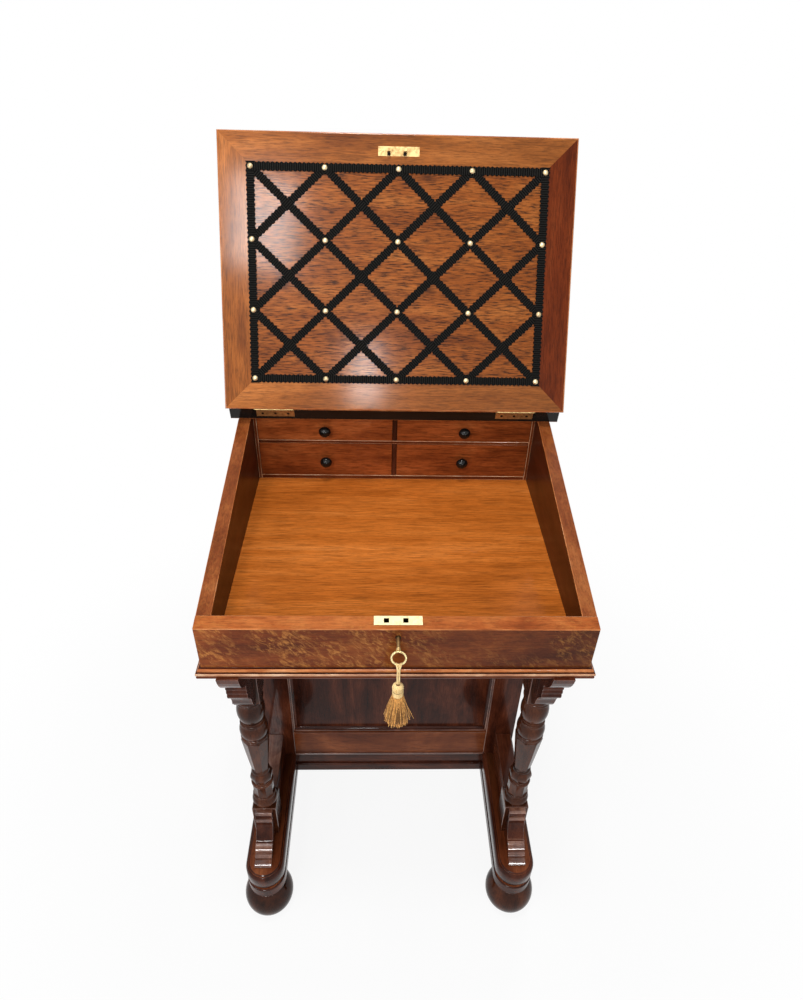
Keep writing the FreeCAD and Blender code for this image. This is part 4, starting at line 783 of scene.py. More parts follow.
# a small bead under the front rail, all in the lighter edge tone as a painted highlight line
footBead = [(0.0, 0.0), (1.8, 0.0), (2.8, 0.7), (3.1, 1.9), (2.6, 3.2), (1.5, 3.9), (0.0, 4.1)]
stations = [(spot(x, pedestal["front"], pedestal["low"]), (0, -1, 0), (0, 0, 1))
            for x in (-base["railHalf"], base["railHalf"])]
sweepSection(shape, footBead, stations, skinOf=lambda face: 1)
finishDark(shape, "pedestal_bead_moulded", "pedestal_panel_bead")
print("pedestal front done")

bay = {"front": 255.0, "back": 510.0, "left": -226.0, "face": 250.0, "faceThick": 18.0, "rear": -202.0,
       "wall": 9.0, "bottom": 5.0, "gap": 0.6, "drop": 10.0, "dummyThick": 6.0, "knobReach": 55.0,
       "tops": (641.5, 532.7, 412.9, 282.1), "lows": (548.7, 428.9, 298.1, 156.3)}
dressed("pedestal_left_side", "carcass", dark, "z", 0.8, 40.0)
shape = startShape()
boards = [(pedestal["low"], bay["lows"][-1]), (bay["tops"][0], pedestal["high"])]
for z0, z1 in boards + list(zip(bay["tops"][1:], bay["lows"])):
    addBoard(shape, spot(bay["left"], bay["front"], z0), spot(bay["face"], bay["back"], z1), "x", 0.8, 0, 1)
finishDark(shape, "drawer_boards_finished", "drawer_boards")


def addDrawerFront(shape, low, high, sign, cockbead=3.2):
    # the front board with a fine raised bead round its face
    addBoard(shape, low, high, "y", 0.6, 0, 1)
    face = high.x if sign > 0 else low.x
    section = [(0.0, 0.0), (0.0, 0.8), (0.6, 1.5), (1.4, 1.7), (2.2, 1.5), (2.8, 0.8), (2.8, 0.0)]
    marks = [(low.y, low.z, 1, 1), (high.y, low.z, -1, 1), (high.y, high.z, -1, -1), (low.y, high.z, 1, -1)]
    stations = [((face, y + h * cockbead / 1000, z + v * cockbead / 1000), (0, h, v), (sign, 0, 0))
                for y, z, h, v in marks]
    sweepSection(shape, section, stations, True, ["y", "z", "y", "z"], skinOf=lambda part: 1, smooth=True)


def addTray(shape, walls, bottom, low, high, thick, edge):
    # walls and bottom are given by two opposite corners seen from above
    for (x0, y0), (x1, y1), along in walls:
        addBoard(shape, spot(x0, y0, low), spot(x1, y1, high), along, edge, 2)
    (x0, y0), (x1, y1) = bottom
    addBoard(shape, spot(x0, y0, low), spot(x1, y1, low + thick), "x", 0.0, 2)


knobMembers = [(8.0, 5.0, 4.0), (4.0, 12.0, 9.0), (3.4, 11.6, 12.4), (4.6, 0.001, 8.8)]
knobYs = [(bay["front"] + bay["back"]) / 2 + reach for reach in (-bay["knobReach"], bay["knobReach"])]
face, gap, wall, rear = bay["face"], bay["gap"], bay["wall"], bay["rear"]
faceBack = face - bay["faceThick"]
near, far = bay["front"] + gap, bay["back"] - gap
inNear, inFar = near + wall, far - wall
dummyFronts, dummyKnobs = startShape(), startShape()
for number, (top, low) in enumerate(zip(bay["tops"], bay["lows"]), 1):
    name = f"side_drawer_{number}"
    shape = startShape()
    addDrawerFront(shape, spot(faceBack, near, low + gap), spot(face, far, top - gap), 1)
    addTray(shape, [((rear, near), (faceBack, inNear), "x"), ((rear, inFar), (faceBack, far), "x"),
                    ((rear, inNear), (rear + wall, inFar), "y")],
            ((rear + wall, inNear), (faceBack, inFar)), low + 0.3, top - bay["drop"], bay["bottom"], 0.5)
    finishDark(shape, name + "_finished", name, dark, name)
    shape = startShape()
    for y in knobYs:
        for goal, sign in ((shape, 1), (dummyKnobs, -1)):
            addTurning(goal, knobMembers, 5.0, steps=32, arcSteps=6,
                       place=Matrix.Translation(spot(sign * face, y, (low + top) / 2))
                       @ Matrix.Rotation(sign * math.pi / 2, 4, "Y"))
    finishDark(shape, name + "_knobs_turned", name + "_knobs", ["darkWood"], name)
    dummyBack = bay["dummyThick"] - face
    addDrawerFront(dummyFronts, spot(-face, near, low + gap), spot(dummyBack, far, top - gap), -1)
finishDark(dummyFronts, "dummy_fronts_finished", "dummy_drawer_fronts")
finishDark(dummyKnobs, "dummy_knobs_turned", "dummy_knobs", ["darkWood"])
print("drawers in the pedestal done")

# ---- writing box
writingBox = {"half": 265.0, "deep": 550.0, "base": 659.5, "rim": 0.74}
dressed("box_bottom", "carcass", ["darkWood", "darkEdgeHighlight"], "x", 0.6)


def sideTone(face):
    # the rim on top, the well's wall inside in dark tones as painted shade, the case outside
    if face.normal.z > 0.9:
        return 2
    return 3 if face.normal.x * face.calc_center_median().x < -0.1 else 0


def aboveRim(face):
    return face.calc_center_median().z > writingBox["rim"]


sideSkins = ["caseWood", "edgeHighlightWood", "sideRim", "sideInnerShaded"]
for side in ("left", "right"):
    dressed(f"box_side_{side}", "carcass", sideSkins, "y", 0.9, choose=sideTone)
dressed("box_back", "carcass", ["caseWood", "caseWood"])
dressed("well_floor", "carcass", ["floorWood", "floorWood"], edge=0.0)
dressed("box_front", "carcass", ["frontWood", "edgeHighlightWood", "rimWood"], "x", 0.9,
        edgeSkin=lambda face: 1 if aboveRim(face) else 0,
        choose=lambda face: 2 if face.normal.z > 0.9 and aboveRim(face) else 0)

# the moulding's section, from the box's wall outwards: bead, quirk, fillet, quirk, ovolo
mouldSection = [(0.0, 12.5), (1.2, 12.5), (2.6, 12.1), (3.9, 11.2), (4.6, 10.0), (4.9, 8.9), (4.7, 8.2),
                (3.6, 7.7), (3.6, 7.0), (6.5, 6.8), (7.0, 6.3), (7.0, 3.0), (6.5, 2.5), (4.9, 2.2),
                (4.9, 1.7), (6.0, 1.4), (6.5, 0.2), (6.4, -1.8), (5.7, -3.6), (4.6, -4.6), (0.0, -4.6)]
shape = startShape()
half, deep, low = writingBox["half"], writingBox["deep"], writingBox["base"]
stations = [
    (spot(-half, deep, low), (-1, 0, 0), (0, 0, 1)),
    (spot(-half, 0, low), (-1, -1, 0), (0, 0, 1)),
    (spot(half, 0, low), (1, -1, 0), (0, 0, 1)),
    (spot(half, deep, low), (1, 0, 0), (0, 0, 1)),
]


# bands of painted light and shade: the bead in the lighter edge tone, the fillet as a pale painted highlight,
# the top slope and the quirks dark as painted shadow, the ovolo below in the darker case tone as painted shade
def mouldTone(face):
    rise = face.calc_center_median().z * 1000 - writingBox["base"]
    if rise > 12.2 or 6.9 < rise < 7.75 or 1.6 <= rise <= 2.3:
        return 2
    if rise > 7.75:
        return 0
    return 1 if rise > 2.3 else 3


sweepSection(shape, mouldSection, stations, False, ["y", "x", "y"], skinOf=mouldTone, smooth=True)
finishPiece(shape, "box_moulding_run", "carcass", ["edgeHighlightWood", "paleHighlightWood", "darkWood", "caseWood"],
            ["box_moulding"], sharp=30.0)
print("writing box done")

# ---- nest of small drawers
nest = {"front": 423.2, "rear": 538.0, "half": 239.5, "inner": 244.6, "floor": 701.2, "shelf": (768.5, 774.5),
        "ceiling": (820.0, 825.6), "well": 693.3, "post": 3.5, "gap": 0.5, "wall": 5.0, "bottom": 4.0,
        "faceThick": 12.0, "drop": 6.0}
shape = startShape()
n = nest
for sign in (-1, 1):
    x0, x1 = sorted((sign * n["half"], sign * n["inner"]))
    addBoard(shape, spot(x0, n["front"], n["well"]), spot(x1, n["rear"], n["ceiling"][1]), "z", 0.7, 0, 1)
for z0, z1 in ((n["well"], n["floor"]), n["shelf"], n["ceiling"]):
    addBoard(shape, spot(-n["half"], n["front"], z0), spot(n["half"], n["rear"], z1), "x", 0.9, 0, 1)
for z0, z1 in ((n["floor"], n["shelf"][0]), (n["shelf"][1], n["ceiling"][0])):
    addBoard(shape, spot(-n["post"], n["front"], z0), spot(n["post"], n["rear"], z1), "z", 0.6, 2, 2)
# the nest boards' rounded edges take the pale tone as a painted highlight
finishPiece(shape, "drawer_nest_finished", "carcass", ["caseWood", "paleHighlightWood", "darkWood"],
            ["drawer_nest"])
smallKnob = [(5.0, 3.9, 3.1), (5.4, 10.4, 8.4), (8.6, 0.001, 8.3)]
for level, low, high in (("upper", n["shelf"][1], n["ceiling"][0]), ("lower", n["floor"], n["shelf"][0])):
    for side, left, right in (("left", -n["half"], -n["post"]), ("right", n["post"], n["half"])):
        name = f"small_drawer_{level}_{side}"
        gap, wall = n["gap"], n["wall"]
        near, far, face, rear = left + gap, right - gap, n["front"] + n["faceThick"], n["rear"] - n["drop"]
        shape = startShape()
        addBoard(shape, spot(near, n["front"], low + gap), spot(far, face, high - gap), "x", 0.6, 0, 1)
        addTray(shape, [((near, face), (near + wall, rear), "y"), ((far - wall, face), (far, rear), "y"),
                        ((near + wall, rear - wall), (far - wall, rear), "x")],
                ((near + wall, face), (far - wall, rear - wall)), low + 0.3, high - n["drop"], n["bottom"], 0.4)
        finishPiece(shape, name + "_finished", name, ["drawerWood", "caseWood", "innerWood"],
                    [name])
        shape = startShape()
        addTurning(shape, smallKnob, 3.8, steps=36, arcSteps=7,
                   place=Matrix.Translation(spot((left + right) / 2, n["front"], (low + high) / 2))
                   @ Matrix.Rotation(math.pi / 2, 4, "X"))
        finishPiece(shape, name + "_knob_turned", name, ["blackWood"], [name + "_knob"])
print("nest and small drawers done")

# ---- fixed top and gallery
# the fixed top's front face, in the shadow of the lid, is near-black: painted shade
dressed("fixed_top", "carcass", ["caseWood", "edgeHighlightWood", "blackWood"], "x", 1.0, 60.0, 1,
        lambda face: 2 if face.normal.y < -0.5 else 0)
gallery = {"foot": 846.39, "out": 272.0, "wide": 16.0, "back": 550.0, "sideFront": 454.0, "spaces": 6}
dressed("gallery_rails", "carcass", ["darkWood", "darkEdgeHighlight"], "y", 1.2, 14.0)
spindleMembers = [(7.0, 3.4, 5.4), (1.2, 3.4, None), (44.6, 3.4, 5.8), (1.2, 3.6, None), (7.0, 3.6, 5.4)]
shape = startShape()
rowHalf, rowY = gallery["out"] - gallery["wide"] / 2, gallery["back"] - gallery["wide"] / 2
places = [(-rowHalf + k * rowHalf / gallery["spaces"], rowY) for k in range(2 * gallery["spaces"] + 1)]
places += [(sign * rowHalf, rowY - k * (rowY - gallery["sideFront"]) / 2) for sign in (-1, 1) for k in (1, 2)]
for x, y in places:
    addTurning(shape, spindleMembers, 3.6, gallery["foot"], steps=20, arcSteps=6,
               place=Matrix.Translation(spot(x, y, 0)))
finishDark(shape, "gallery_spindles_turned", "gallery_spindles", ["darkWood"])
print("gallery done")

# ---- lid, made flat with Y away from the hinge and Z towards the inner face, then leaned back
lid = {"half": 280.0, "near": 1.4, "far": 425.66, "border": 45.0, "edgeGap": 0.5, "thick": 20.0, "leather": 0.4,
       "panel": 2.0, "lean": 25.5, "hingeY": 402.0, "hingeZ": 846.39}
lidPlace = Matrix.Translation(spot(0, lid["hingeY"], lid["hingeZ"])) @ Matrix.Rotation(
    math.radians(90 - lid["lean"]), 4, "X")


def onLid(shape):
    bmesh.ops.transform(shape, matrix=lidPlace, verts=shape.verts)


shape = startShape()
half, near, far, border = lid["half"], lid["near"], lid["far"], lid["border"]
inner, nearIn, farIn = half - border, lid["edgeGap"] + border, far - border
sides = (
    ("x", [(-half, near), (half, near), (inner, nearIn), (-inner, nearIn)]),
    ("x", [(half, far), (-half, far), (-inner, farIn), (inner, farIn)]),
    ("y", [(-half, far), (-half, near), (-inner, nearIn), (-inner, farIn)]),
    ("y", [(half, near), (half, far), (inner, farIn), (inner, nearIn)]),
)
for along, outline in sides:
    # the right-hand border board takes darker, redder tones: painted shade on the side away from the light
    shade = 2 if outline[0][0] > 0 and along == "y" else 0
    faces = slabFace(shape, outline, "z", 0.0, lid["thick"], shade, along)
    outer = [rim for rim in rimsOf(faces)
             if all(abs(abs(v.co.x * 1000) - half) < 0.01 or v.co.y * 1000 < near + 0.01
                    or v.co.y * 1000 > far - 0.01 for v in rim.verts)
             and rim.calc_length() > 0.1]
    known = set(shape.faces)
    for face in bevelled(shape, outer, 2.2, 3):
        face.material_index = 1
    thin = [rim for rim in rimsOf(faces)
            if len(rim.link_faces) == 2 and rim.calc_face_angle(0.0) > math.radians(60)]
    bevelled(shape, thin, 0.25, 1)
    markGrain(shape, [face for face in shape.faces if face not in known or face in faces], along)
onLid(shape)
finishPiece(shape, "lid_frame_mitred", "lid", ["lidEdge", "edgeHighlightWood", "lidEdgeShaded"], ["lid_frame"])
shape = startShape()
addBoard(shape, Vector((-inner, nearIn, lid["panel"])) / 1000,
         Vector((inner, farIn, lid["thick"])) / 1000, "x", 0.25)
onLid(shape)
finishPiece(shape, "lid_panel_finished", "lid", ["lidWood"], ["lid_panel"])
skins["leather"] = leatherSkin(inner / 1000, nearIn / 1000, farIn / 1000)
shape = startShape()
faces = addBoard(shape, Vector((-inner, nearIn, lid["leather"])) / 1000,
                 Vector((inner, farIn, lid["panel"])) / 1000, "x", 0.3)
markGrain(shape, faces, "x", wander=False)
onLid(shape)
finishPiece(shape, "writing_leather_tooled", "lid", ["leather"], ["writing_leather"])
print("lid done")

# ---- letter rack of serrated ribbon
rack = {"wide": 14.4, "thick": 0.5, "tooth": 6.9, "bite": 2.0, "pitchX": 114.8, "pitchY": 107.487, "edge": 51.4,
        "columns": 5, "rows": 4, "lifts": (0.02, 0.46, 0.88, 0.94), "studLift": 1.0}
rackHalf = rack["pitchX"] * (rack["columns"] - 1) / 2
rackFar = rack["edge"] + rack["pitchY"] * (rack["rows"] - 1)


def addRibbon(shape, start, end, lift):
    start, end = Vector(start), Vector(end)
    long = (end - start).length
    teeth = int(long / rack["tooth"])
    known = set(shape.faces)
    made = bmesh.ops.create_grid(shape, x_segments=teeth * 2, y_segments=1, size=0.5)["verts"]
    bmesh.ops.scale(shape, vec=(long / 1000, rack["wide"] / 1000, 1), verts=made)
    columns = sorted(made, key=lambda v: v.co.x)
    for place, vert in enumerate(columns):
        if (place // 2) % 2:
            vert.co.y -= math.copysign(rack["bite"] / 1000, vert.co.y)
    faces = since(shape, known)
    markGrain(shape, faces, "x")
    grown = bmesh.ops.solidify(shape, geom=faces, thickness=-rack["thick"] / 1000)["geom"]
    verts = list(dict.fromkeys(made + vertsOf(grown)))
    turn = math.atan2(end.y - start.y, end.x - start.x)
    middle = Vector((*(start + end) / 2, lid["thick"] + lift)) / 1000
    place = Matrix.Translation(middle) @ Matrix.Rotation(turn, 4, "Z")
    bmesh.ops.transform(shape, matrix=place, verts=verts)


shape = startShape()
starts = [(c, 0) for c in range(rack["columns"] - 1)] + [(0, r) for r in range(1, rack["rows"] - 1)]
for c, r in starts:
    steps = min(rack["columns"] - 1 - c, rack["rows"] - 1 - r)
    x0, x1 = c * rack["pitchX"] - rackHalf, (c + steps) * rack["pitchX"] - rackHalf
    y0, y1 = rack["edge"] + r * rack["pitchY"], rack["edge"] + (r + steps) * rack["pitchY"]
    addRibbon(shape, (x0, y0), (x1, y1), rack["lifts"][0])
    addRibbon(shape, (x0, rack["edge"] + rackFar - y0), (x1, rack["edge"] + rackFar - y1), rack["lifts"][1])
for x in (-rackHalf, rackHalf):
    addRibbon(shape, (x, rack["edge"] - rack["wide"] / 2), (x, rackFar + rack["wide"] / 2), rack["lifts"][2])
for y in (rack["edge"], rackFar):
    addRibbon(shape, (-rackHalf, y), (rackHalf, y), rack["lifts"][3])
onLid(shape)
finishPiece(shape, "ribbon_rack_woven", "lid", ["ribbon"], ["ribbon_rack"])
shape = startShape()
for c in range(rack["columns"]):
    for r in range(rack["rows"]):
        place = Matrix.Translation(Vector((c * rack["pitchX"] - rackHalf, rack["edge"] + r * rack["pitchY"],
                                           lid["thick"] + rack["studLift"])) / 1000)
        addTurning(shape, [(0.5, 4.2, 4.3), (2.2, 0.001, 3.1)], 4.0, 0.0, steps=24, arcSteps=5, place=place)
onLid(shape)
finishPiece(shape, "ribbon_studs_domed", "lid", ["studBrass"], ["ribbon_studs"])
print("letter rack done")

# ---- brass fittings


def copied(name, lift=(0, 0, 0)):
    # a copy of a fitting, set a hair proud of the wood that it is let into
    shape = solidOf(name)
    bmesh.ops.translate(shape, vec=Vector(lift) / 1000, verts=shape.verts)
    markGrain(shape, shape.faces, "x")
    return shape


# the keyhole's lining in near-black brass: painted shade in the keyhole
finishPiece(copied("keyhole_lining", (0, -0.2, 0)), "keyhole_lining_dressed", "carcass", ["shadedBrass"],
            ["keyhole_lining"], normals=False)
for name, body, use in (("lock_case", "carcass", "shadedBrass"), ("lock_bolt", "lock_bolt", "shadedBrass"),
                        ("hinge_leaves_lid", "lid", "wornBrass")):
    dressed(name, body, [use, use], "x", 0.0)
dressed("lock_plate", "carcass", ["paleBrass", "paleBrass", "shadedBrass"], "x", 0.0,
        choose=lambda face: 0 if face.normal.z > 0.7 else 2)


def addScrew(shape, place, radius, turn, skin=0):
    # a flush screw: a low domed head with a dark bar across it, painted shade standing for the slot
    addTurning(shape, [(0.14, radius, None), (0.3, 0.001, radius * 0.62)], radius, 0.0, steps=20, arcSteps=3,
               skin=skin, place=place)
    reach = radius * 0.86
    addBoard(shape, Vector((-reach, -0.22, 0.2)) / 1000, Vector((reach, 0.22, 0.45)) / 1000, "x", 0.0,
             1, turned=place @ Matrix.Rotation(turn, 4, "Z"))


fittings = {"plateY": 399.7, "plateProud": 0.06, "plateScrews": (-26.0, 26.0), "sunk": 0.17,
            "lugs": (-15.5, 9.5), "leafMiddle": 201.75, "leafScrews": (-21.3, 0.0, 21.3),
            "leafY": 403.7, "leafHigh": 837.7, "leafLean": 101.0, "leafSunk": 0.37}
shape = copied("link_plate", lidPlace.to_3x3() @ Vector((0, 0, fittings["plateProud"])))
marks = startShape()
screwHigh = lid["thick"] + fittings["plateProud"] - fittings["sunk"]
for x in fittings["plateScrews"]:
    addScrew(marks, Matrix.Translation(Vector((x, fittings["plateY"], screwHigh)) / 1000), 2.9, 0.7 + x)
# dark sheets under the lugs: painted shade in the lugs' eyes
for x in fittings["lugs"]:
    addBoard(marks, Vector((x - 2.6, fittings["plateY"] - 6.4, lid["thick"] - 0.1)) / 1000,
             Vector((x + 2.6, fittings["plateY"] - 1.6, lid["thick"] + 0.1)) / 1000, "x", 0.0, 1)
onLid(marks)
marksMesh = bpy.data.meshes.new("marks")
marks.to_mesh(marksMesh)
marks.free()
shape.from_mesh(marksMesh)
bpy.data.meshes.remove(marksMesh)
finishPiece(shape, "link_plate_dressed", "lid", ["wornBrass", "blackWood"], ["link_plate"],
            normals=False)
shape = copied("hinge_leaves_fixed")
leafTurn = Matrix.Rotation(math.radians(fittings["leafLean"]), 4, "X")
leafSink = Matrix.Translation((0, 0, -fittings["leafSunk"] / 1000))
for sign in (-1, 1):
    for reach in fittings["leafScrews"]:
        head = spot(sign * fittings["leafMiddle"] + reach, fittings["leafY"], fittings["leafHigh"])
        addScrew(shape, Matrix.Translation(head) @ leafTurn @ leafSink, 2.6, 0.5 + reach, skin=2)
finishPiece(shape, "hinge_leaves_fixed_dressed", "carcass", ["wornBrass", "blackWood", "shadedBrass"],
            ["hinge_leaves_fixed"], normals=False)

# ---- key with a rope-twist ring
key = {"z": 731.0, "out": 23.8, "ring": 9.8, "strandRing": 9.4, "strand": 0.88, "twist": 0.62, "strands": 2,
       "turns": 11, "points": 330, "droop": 9.0}
keyMembers = [(1.2, 3.4, 3.2), (1.6, 2.3, 2.2), (2.2, 2.2, 3.3), (24.0, 2.2, None), (8.6, 2.2, None),
              (0.8, 0.001, 1.6)]


def tubeMesh(lines, radius, cyclic=False, sides=2):
    # thin round lines made solid
    curve = bpy.data.curves.new("line", "CURVE")
    curve.dimensions = "3D"
    curve.bevel_depth = radius
    curve.bevel_resolution = sides
    curve.use_fill_caps = not cyclic
    for line in lines:
        spline = curve.splines.new("POLY")
        spline.points.add(len(line) - 1)
        for point, place in zip(spline.points, line):
            point.co = (*place, 1.0)
        spline.use_cyclic_u = cyclic
    holder = bpy.data.objects.new("line", curve)
    scene.collection.objects.link(holder)
    mesh = bpy.data.meshes.new_from_object(holder.evaluated_get(bpy.context.evaluated_depsgraph_get()))
    bpy.data.objects.remove(holder)
    bpy.data.curves.remove(curve)
    return mesh


def addMesh(shape, mesh, skin=0, along="z"):
    known = set(shape.faces)
    shape.from_mesh(mesh)
    bpy.data.meshes.remove(mesh)
    faces = since(shape, known)
    for face in faces:
        face.smooth = True
        face.material_index = skin
    markGrain(shape, faces, along)


shape = startShape()
bore = Matrix.Translation(spot(0, -key["out"], key["z"])) @ Matrix.Rotation(-math.pi / 2, 4, "X")
addTurning(shape, keyMembers, 2.0, 0.0, steps=28, arcSteps=5, place=bore)
addBoard(shape, spot(-8.2, 11.6, 730.0), spot(0.0, 14.6, 732.0), "x", 0.25)
addBoard(shape, spot(-8.2, 12.6, 729.6), spot(-5.2, 13.4, 732.4), "x", 0.1)
ringPlace = Matrix.Translation((0, -key["out"], key["z"])) @ Matrix.Rotation(math.radians(key["droop"]), 4, "X")
strands = []
for strand in range(key["strands"]):
    line = []
    for step in range(key["points"]):
        a = math.tau * step / key["points"]
        w = a * key["turns"] + math.tau * strand / key["strands"]
        r = key["strandRing"] + key["twist"] * math.cos(w)
        place = ringPlace @ Vector((r * math.cos(a), r * math.sin(a) - key["ring"], key["twist"] * math.sin(w)))
        line.append(spot(*place))
    strands.append(line)
addMesh(shape, tubeMesh(strands, key["strand"] / 1000, cyclic=True, sides=1), 1)
finishPiece(shape, "key_twisted", "key", ["wornBrass", "paleBrass"], ["key"])
print("key done")

# ---- tassel cord: one line up, round the ring and down again
cord = {"spread": 2.5, "low": 695.0, "hook": 718.0, "over": 732.25, "y": -46.4, "radius": 1.1}
s, y = cord["spread"] / 2, cord["y"]
route = [spot(-s, y, cord["low"]), spot(-s, y, cord["hook"]), spot(-s, y, cord["over"]),
         spot(s, y, cord["over"]), spot(s, y, cord["hook"]), spot(s, y, cord["low"])]
cordCurve = bpy.data.curves.new("tassel_cord_run", "CURVE")
cordCurve.dimensions = "3D"
run = cordCurve.splines.new("NURBS")
run.points.add(len(route) - 1)
for point, place in zip(run.points, route):
    point.co = (*place, 1.0)
run.order_u = 3
run.use_endpoint_u = True
run.resolution_u = 6
cordCurve.bevel_depth = cord["radius"] / 1000
cordCurve.bevel_resolution = 3
cordCurve.materials.append(skins["silkHead"])
cordPiece = bpy.data.objects.new("tassel_cord_run", cordCurve)
scene.collection.objects.link(cordPiece)
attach(cordPiece, "tassel")
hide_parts("tassel_cord")

# ---- tassel: a wound head and a skirt of loose threads
tassel = {"neck": 674.0, "top": 676.5, "low": 627.0, "threads": 460, "y": -46.4, "waist": 5.6, "hem": 17.4,
          "core": [(7.0, 15.2, 14.8), (41.0, 5.2, 11.0), (9.0, 5.4, 6.8), (7.5, 4.0, 6.4), (2.5, 2.0, 3.3)],
          "strays": ((23.0, 8.0, 0.35), (20.0, 9.5, 0.6), (17.5, 7.0, 2.7)), "wraps": 16}
shape = startShape()
# the core inside the skirt in dark silk: painted shade between the threads
addTurning(shape, tassel["core"], 12.4, 627.5, steps=28, arcSteps=6, skin=2,
           place=Matrix.Translation(spot(0, tassel["y"], 0)))
lines = []
for thread in range(tassel["threads"]):
    a = dice.uniform(0, math.tau)
    deep = math.sqrt(dice.uniform(0.3, 1.0))
    flare = deep * dice.uniform(0.9, 1.06)
    drop = dice.uniform(-2.6, 3.6) + (1 - deep) * 3
    swing, sway = dice.uniform(-0.25, 0.25), dice.uniform(-0.9, 0.9)
    line = []
    for step in range(7):
        t = step / 6
        r = tassel["waist"] * deep + (tassel["hem"] * flare - tassel["waist"] * deep) * (t ** 0.8)
        bend = a + swing * t * t
        wave = sway * math.sin(t * 5 + a * 3) * 0.35
        line.append(spot((r + wave) * math.cos(bend), tassel["y"] + (r + wave) * math.sin(bend),
                         tassel["top"] - (tassel["top"] - tassel["low"] - drop) * t))
    lines.append(line)
for reach, drop, a in tassel["strays"]:
    line = []
    for t in (0, 0.25, 0.5, 0.75, 1):
        r = 6 + (reach - 6) * t
        line.append(spot(r * math.cos(a), tassel["y"] - r * math.sin(a),
                         tassel["neck"] - (tassel["neck"] - tassel["low"] - drop) * t))
    lines.append(line)
addMesh(shape, tubeMesh(lines, 0.00042, sides=0), 0)
wraps = []
for strand in range(tassel["wraps"]):
    line = []
    for step in range(13):
        t = step / 12
        a = math.tau * strand / tassel["wraps"] + t * 2.2
        high = math.pi * (0.05 + 0.9 * t)
        r = 1.7 + 5.1 * math.sin(high) ** 0.75
        line.append(spot(r * math.cos(a), tassel["y"] + r * math.sin(a), 687.4 + 6.4 * math.cos(high)))
    wraps.append(line)
addMesh(shape, tubeMesh(wraps, 0.001, sides=1), 1)
binding = []
for k in range(131):
    t = k / 130
    r, a = 6.7 - abs(t - 0.6), math.tau * 5 * t
    binding.append(spot(r * math.cos(a), tassel["y"] + r * math.sin(a), 673.5 + 8.0 * t))
addMesh(shape, tubeMesh([binding], 0.00095, sides=1), 1)
hitch = [[spot(sign * 3.1, -41.6, 728.6), spot(sign * 3.0, -44.2, 731.2), spot(sign * 2.4, -46.6, 729.2),
          spot(sign * 1.2, -47.2, 724.4), spot(sign * 0.6, -47.3, 719.6)] for sign in (-1, 1)]
hitch.append([spot(-3.0, -45.0, 730.9), spot(0.0, -47.2, 731.0), spot(3.0, -45.0, 730.9)])
addMesh(shape, tubeMesh(hitch, 0.00125, sides=2), 1)
finishPiece(shape, "tassel_threads", "tassel", ["silk", "silkHead", "silkShaded"], ["tassel"])
print("tassel done")


# ---- stage, world and lamps
def seenRays(tree):
    # what is seen straight, in a mirror or through glass is white; the rest is lit
    path = node(tree, "ShaderNodeLightPath")
    bounced = sums(tree, "MAXIMUM", path.outputs["Is Glossy Ray"], path.outputs["Is Transmission Ray"])
    return sums(tree, "MAXIMUM", path.outputs["Is Camera Ray"], bounced)


def stageSkin(name, colour, show):
    skin, tree, gloss = startSkin(name)
    feed(tree, gloss, {"Base Color": colour, "Roughness": 0.8})
    glow = node(tree, "ShaderNodeEmission", {"Color": (1, 1, 1, 1), "Strength": 1.0})
    apart = node(tree, "ShaderNodeVectorMath", {"operation": "LENGTH"}, {0: objectPlace(tree)}).outputs["Value"]
    shadeFade = node(tree, "ShaderNodeMapRange",
                {"From Min": 0.45, "From Max": 1.1, "To Min": show, "To Max": 1.0,
                 "interpolation_type": "SMOOTHSTEP"}, {"Value": apart})
    both = node(tree, "ShaderNodeMixShader", None,
                {0: times(tree, seenRays(tree), shadeFade.outputs[0]), 1: gloss.outputs["BSDF"],
                 2: glow.outputs["Emission"]})
    tree.links.new(both.outputs[0], tree.nodes["Material Output"].inputs["Surface"])
    return skin


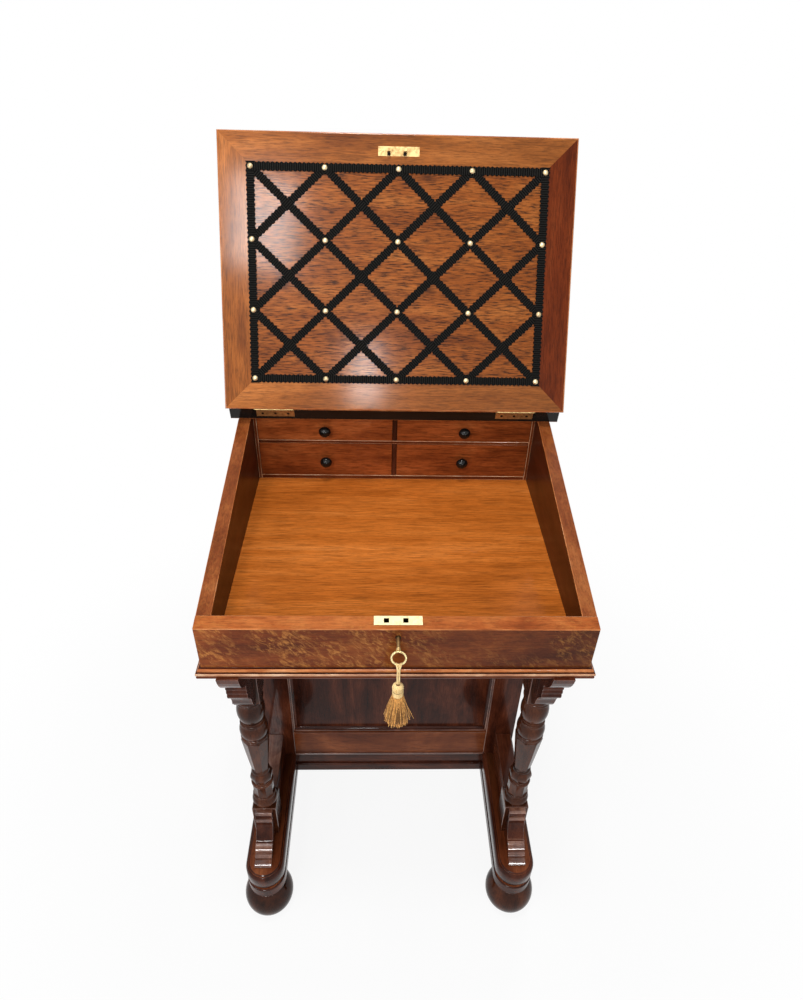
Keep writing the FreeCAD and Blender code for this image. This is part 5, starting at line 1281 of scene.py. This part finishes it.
floorShape = bmesh.new()
bmesh.ops.create_grid(floorShape, x_segments=1, y_segments=1, size=8.0)
floorMesh = bpy.data.meshes.new("studio_floor")
floorShape.to_mesh(floorMesh)
floorShape.free()
floorMesh.materials.append(stageSkin("studioFloor", (0.75, 0.75, 0.75, 1.0), 0.9))
studioFloor = bpy.data.objects.new("studio_floor", floorMesh)
scene.collection.objects.link(studioFloor)

world = bpy.data.worlds.new("studio")
scene.world = world
world.use_nodes = True
sky = world.node_tree
sky.nodes.clear()
soft = node(sky, "ShaderNodeBackground", {"Color": (0.97, 0.98, 1.0, 1.0), "Strength": 0.27})
white = node(sky, "ShaderNodeBackground", {"Color": (1, 1, 1, 1), "Strength": 1.0})
both = node(sky, "ShaderNodeMixShader", None, {0: seenRays(sky), 1: soft.outputs[0], 2: white.outputs[0]})
node(sky, "ShaderNodeOutputWorld", None, {"Surface": both.outputs[0]})


def lamp(name, place, aim, size, power):
    light = bpy.data.lights.new(name, "AREA")
    light.shape = "RECTANGLE"
    light.size, light.size_y = size
    light.energy = power
    made = bpy.data.objects.new(name, light)
    scene.collection.objects.link(made)
    made.location = place
    made.rotation_euler = (Vector(aim) - Vector(place)).to_track_quat("-Z", "Y").to_euler()


lamp("overhead", (-0.1, -0.35, 2.9), (0, 0, 0.7), (0.36, 0.36), 24)
lamp("keyLeft", (-1.5, -1.3, 1.5), (0, 0, 0.6), (0.5, 0.5), 6)
lamp("window", (-0.66, -2.02, 2.8), (-0.2, 0.2, 1.05), (0.34, 0.45), 22)
lamp("windowLow", (-0.11, -2.38, 2.1), (-0.05, 0.14, 0.9), (0.16, 0.34), 9)
lamp("lowLeft", (-1.0, -1.7, 1.25), (-0.2, -0.2, 0.4), (0.2, 0.12), 7)
lamp("lowRight", (0.6, -1.9, 1.35), (0.2, -0.2, 0.4), (0.16, 0.12), 4)
lamp("behind", (0.9, 2.3, 2.3), (0, 0.1, 0.6), (0.8, 0.8), 20)
print("lights done")

scene.view_settings.view_transform = "Standard"
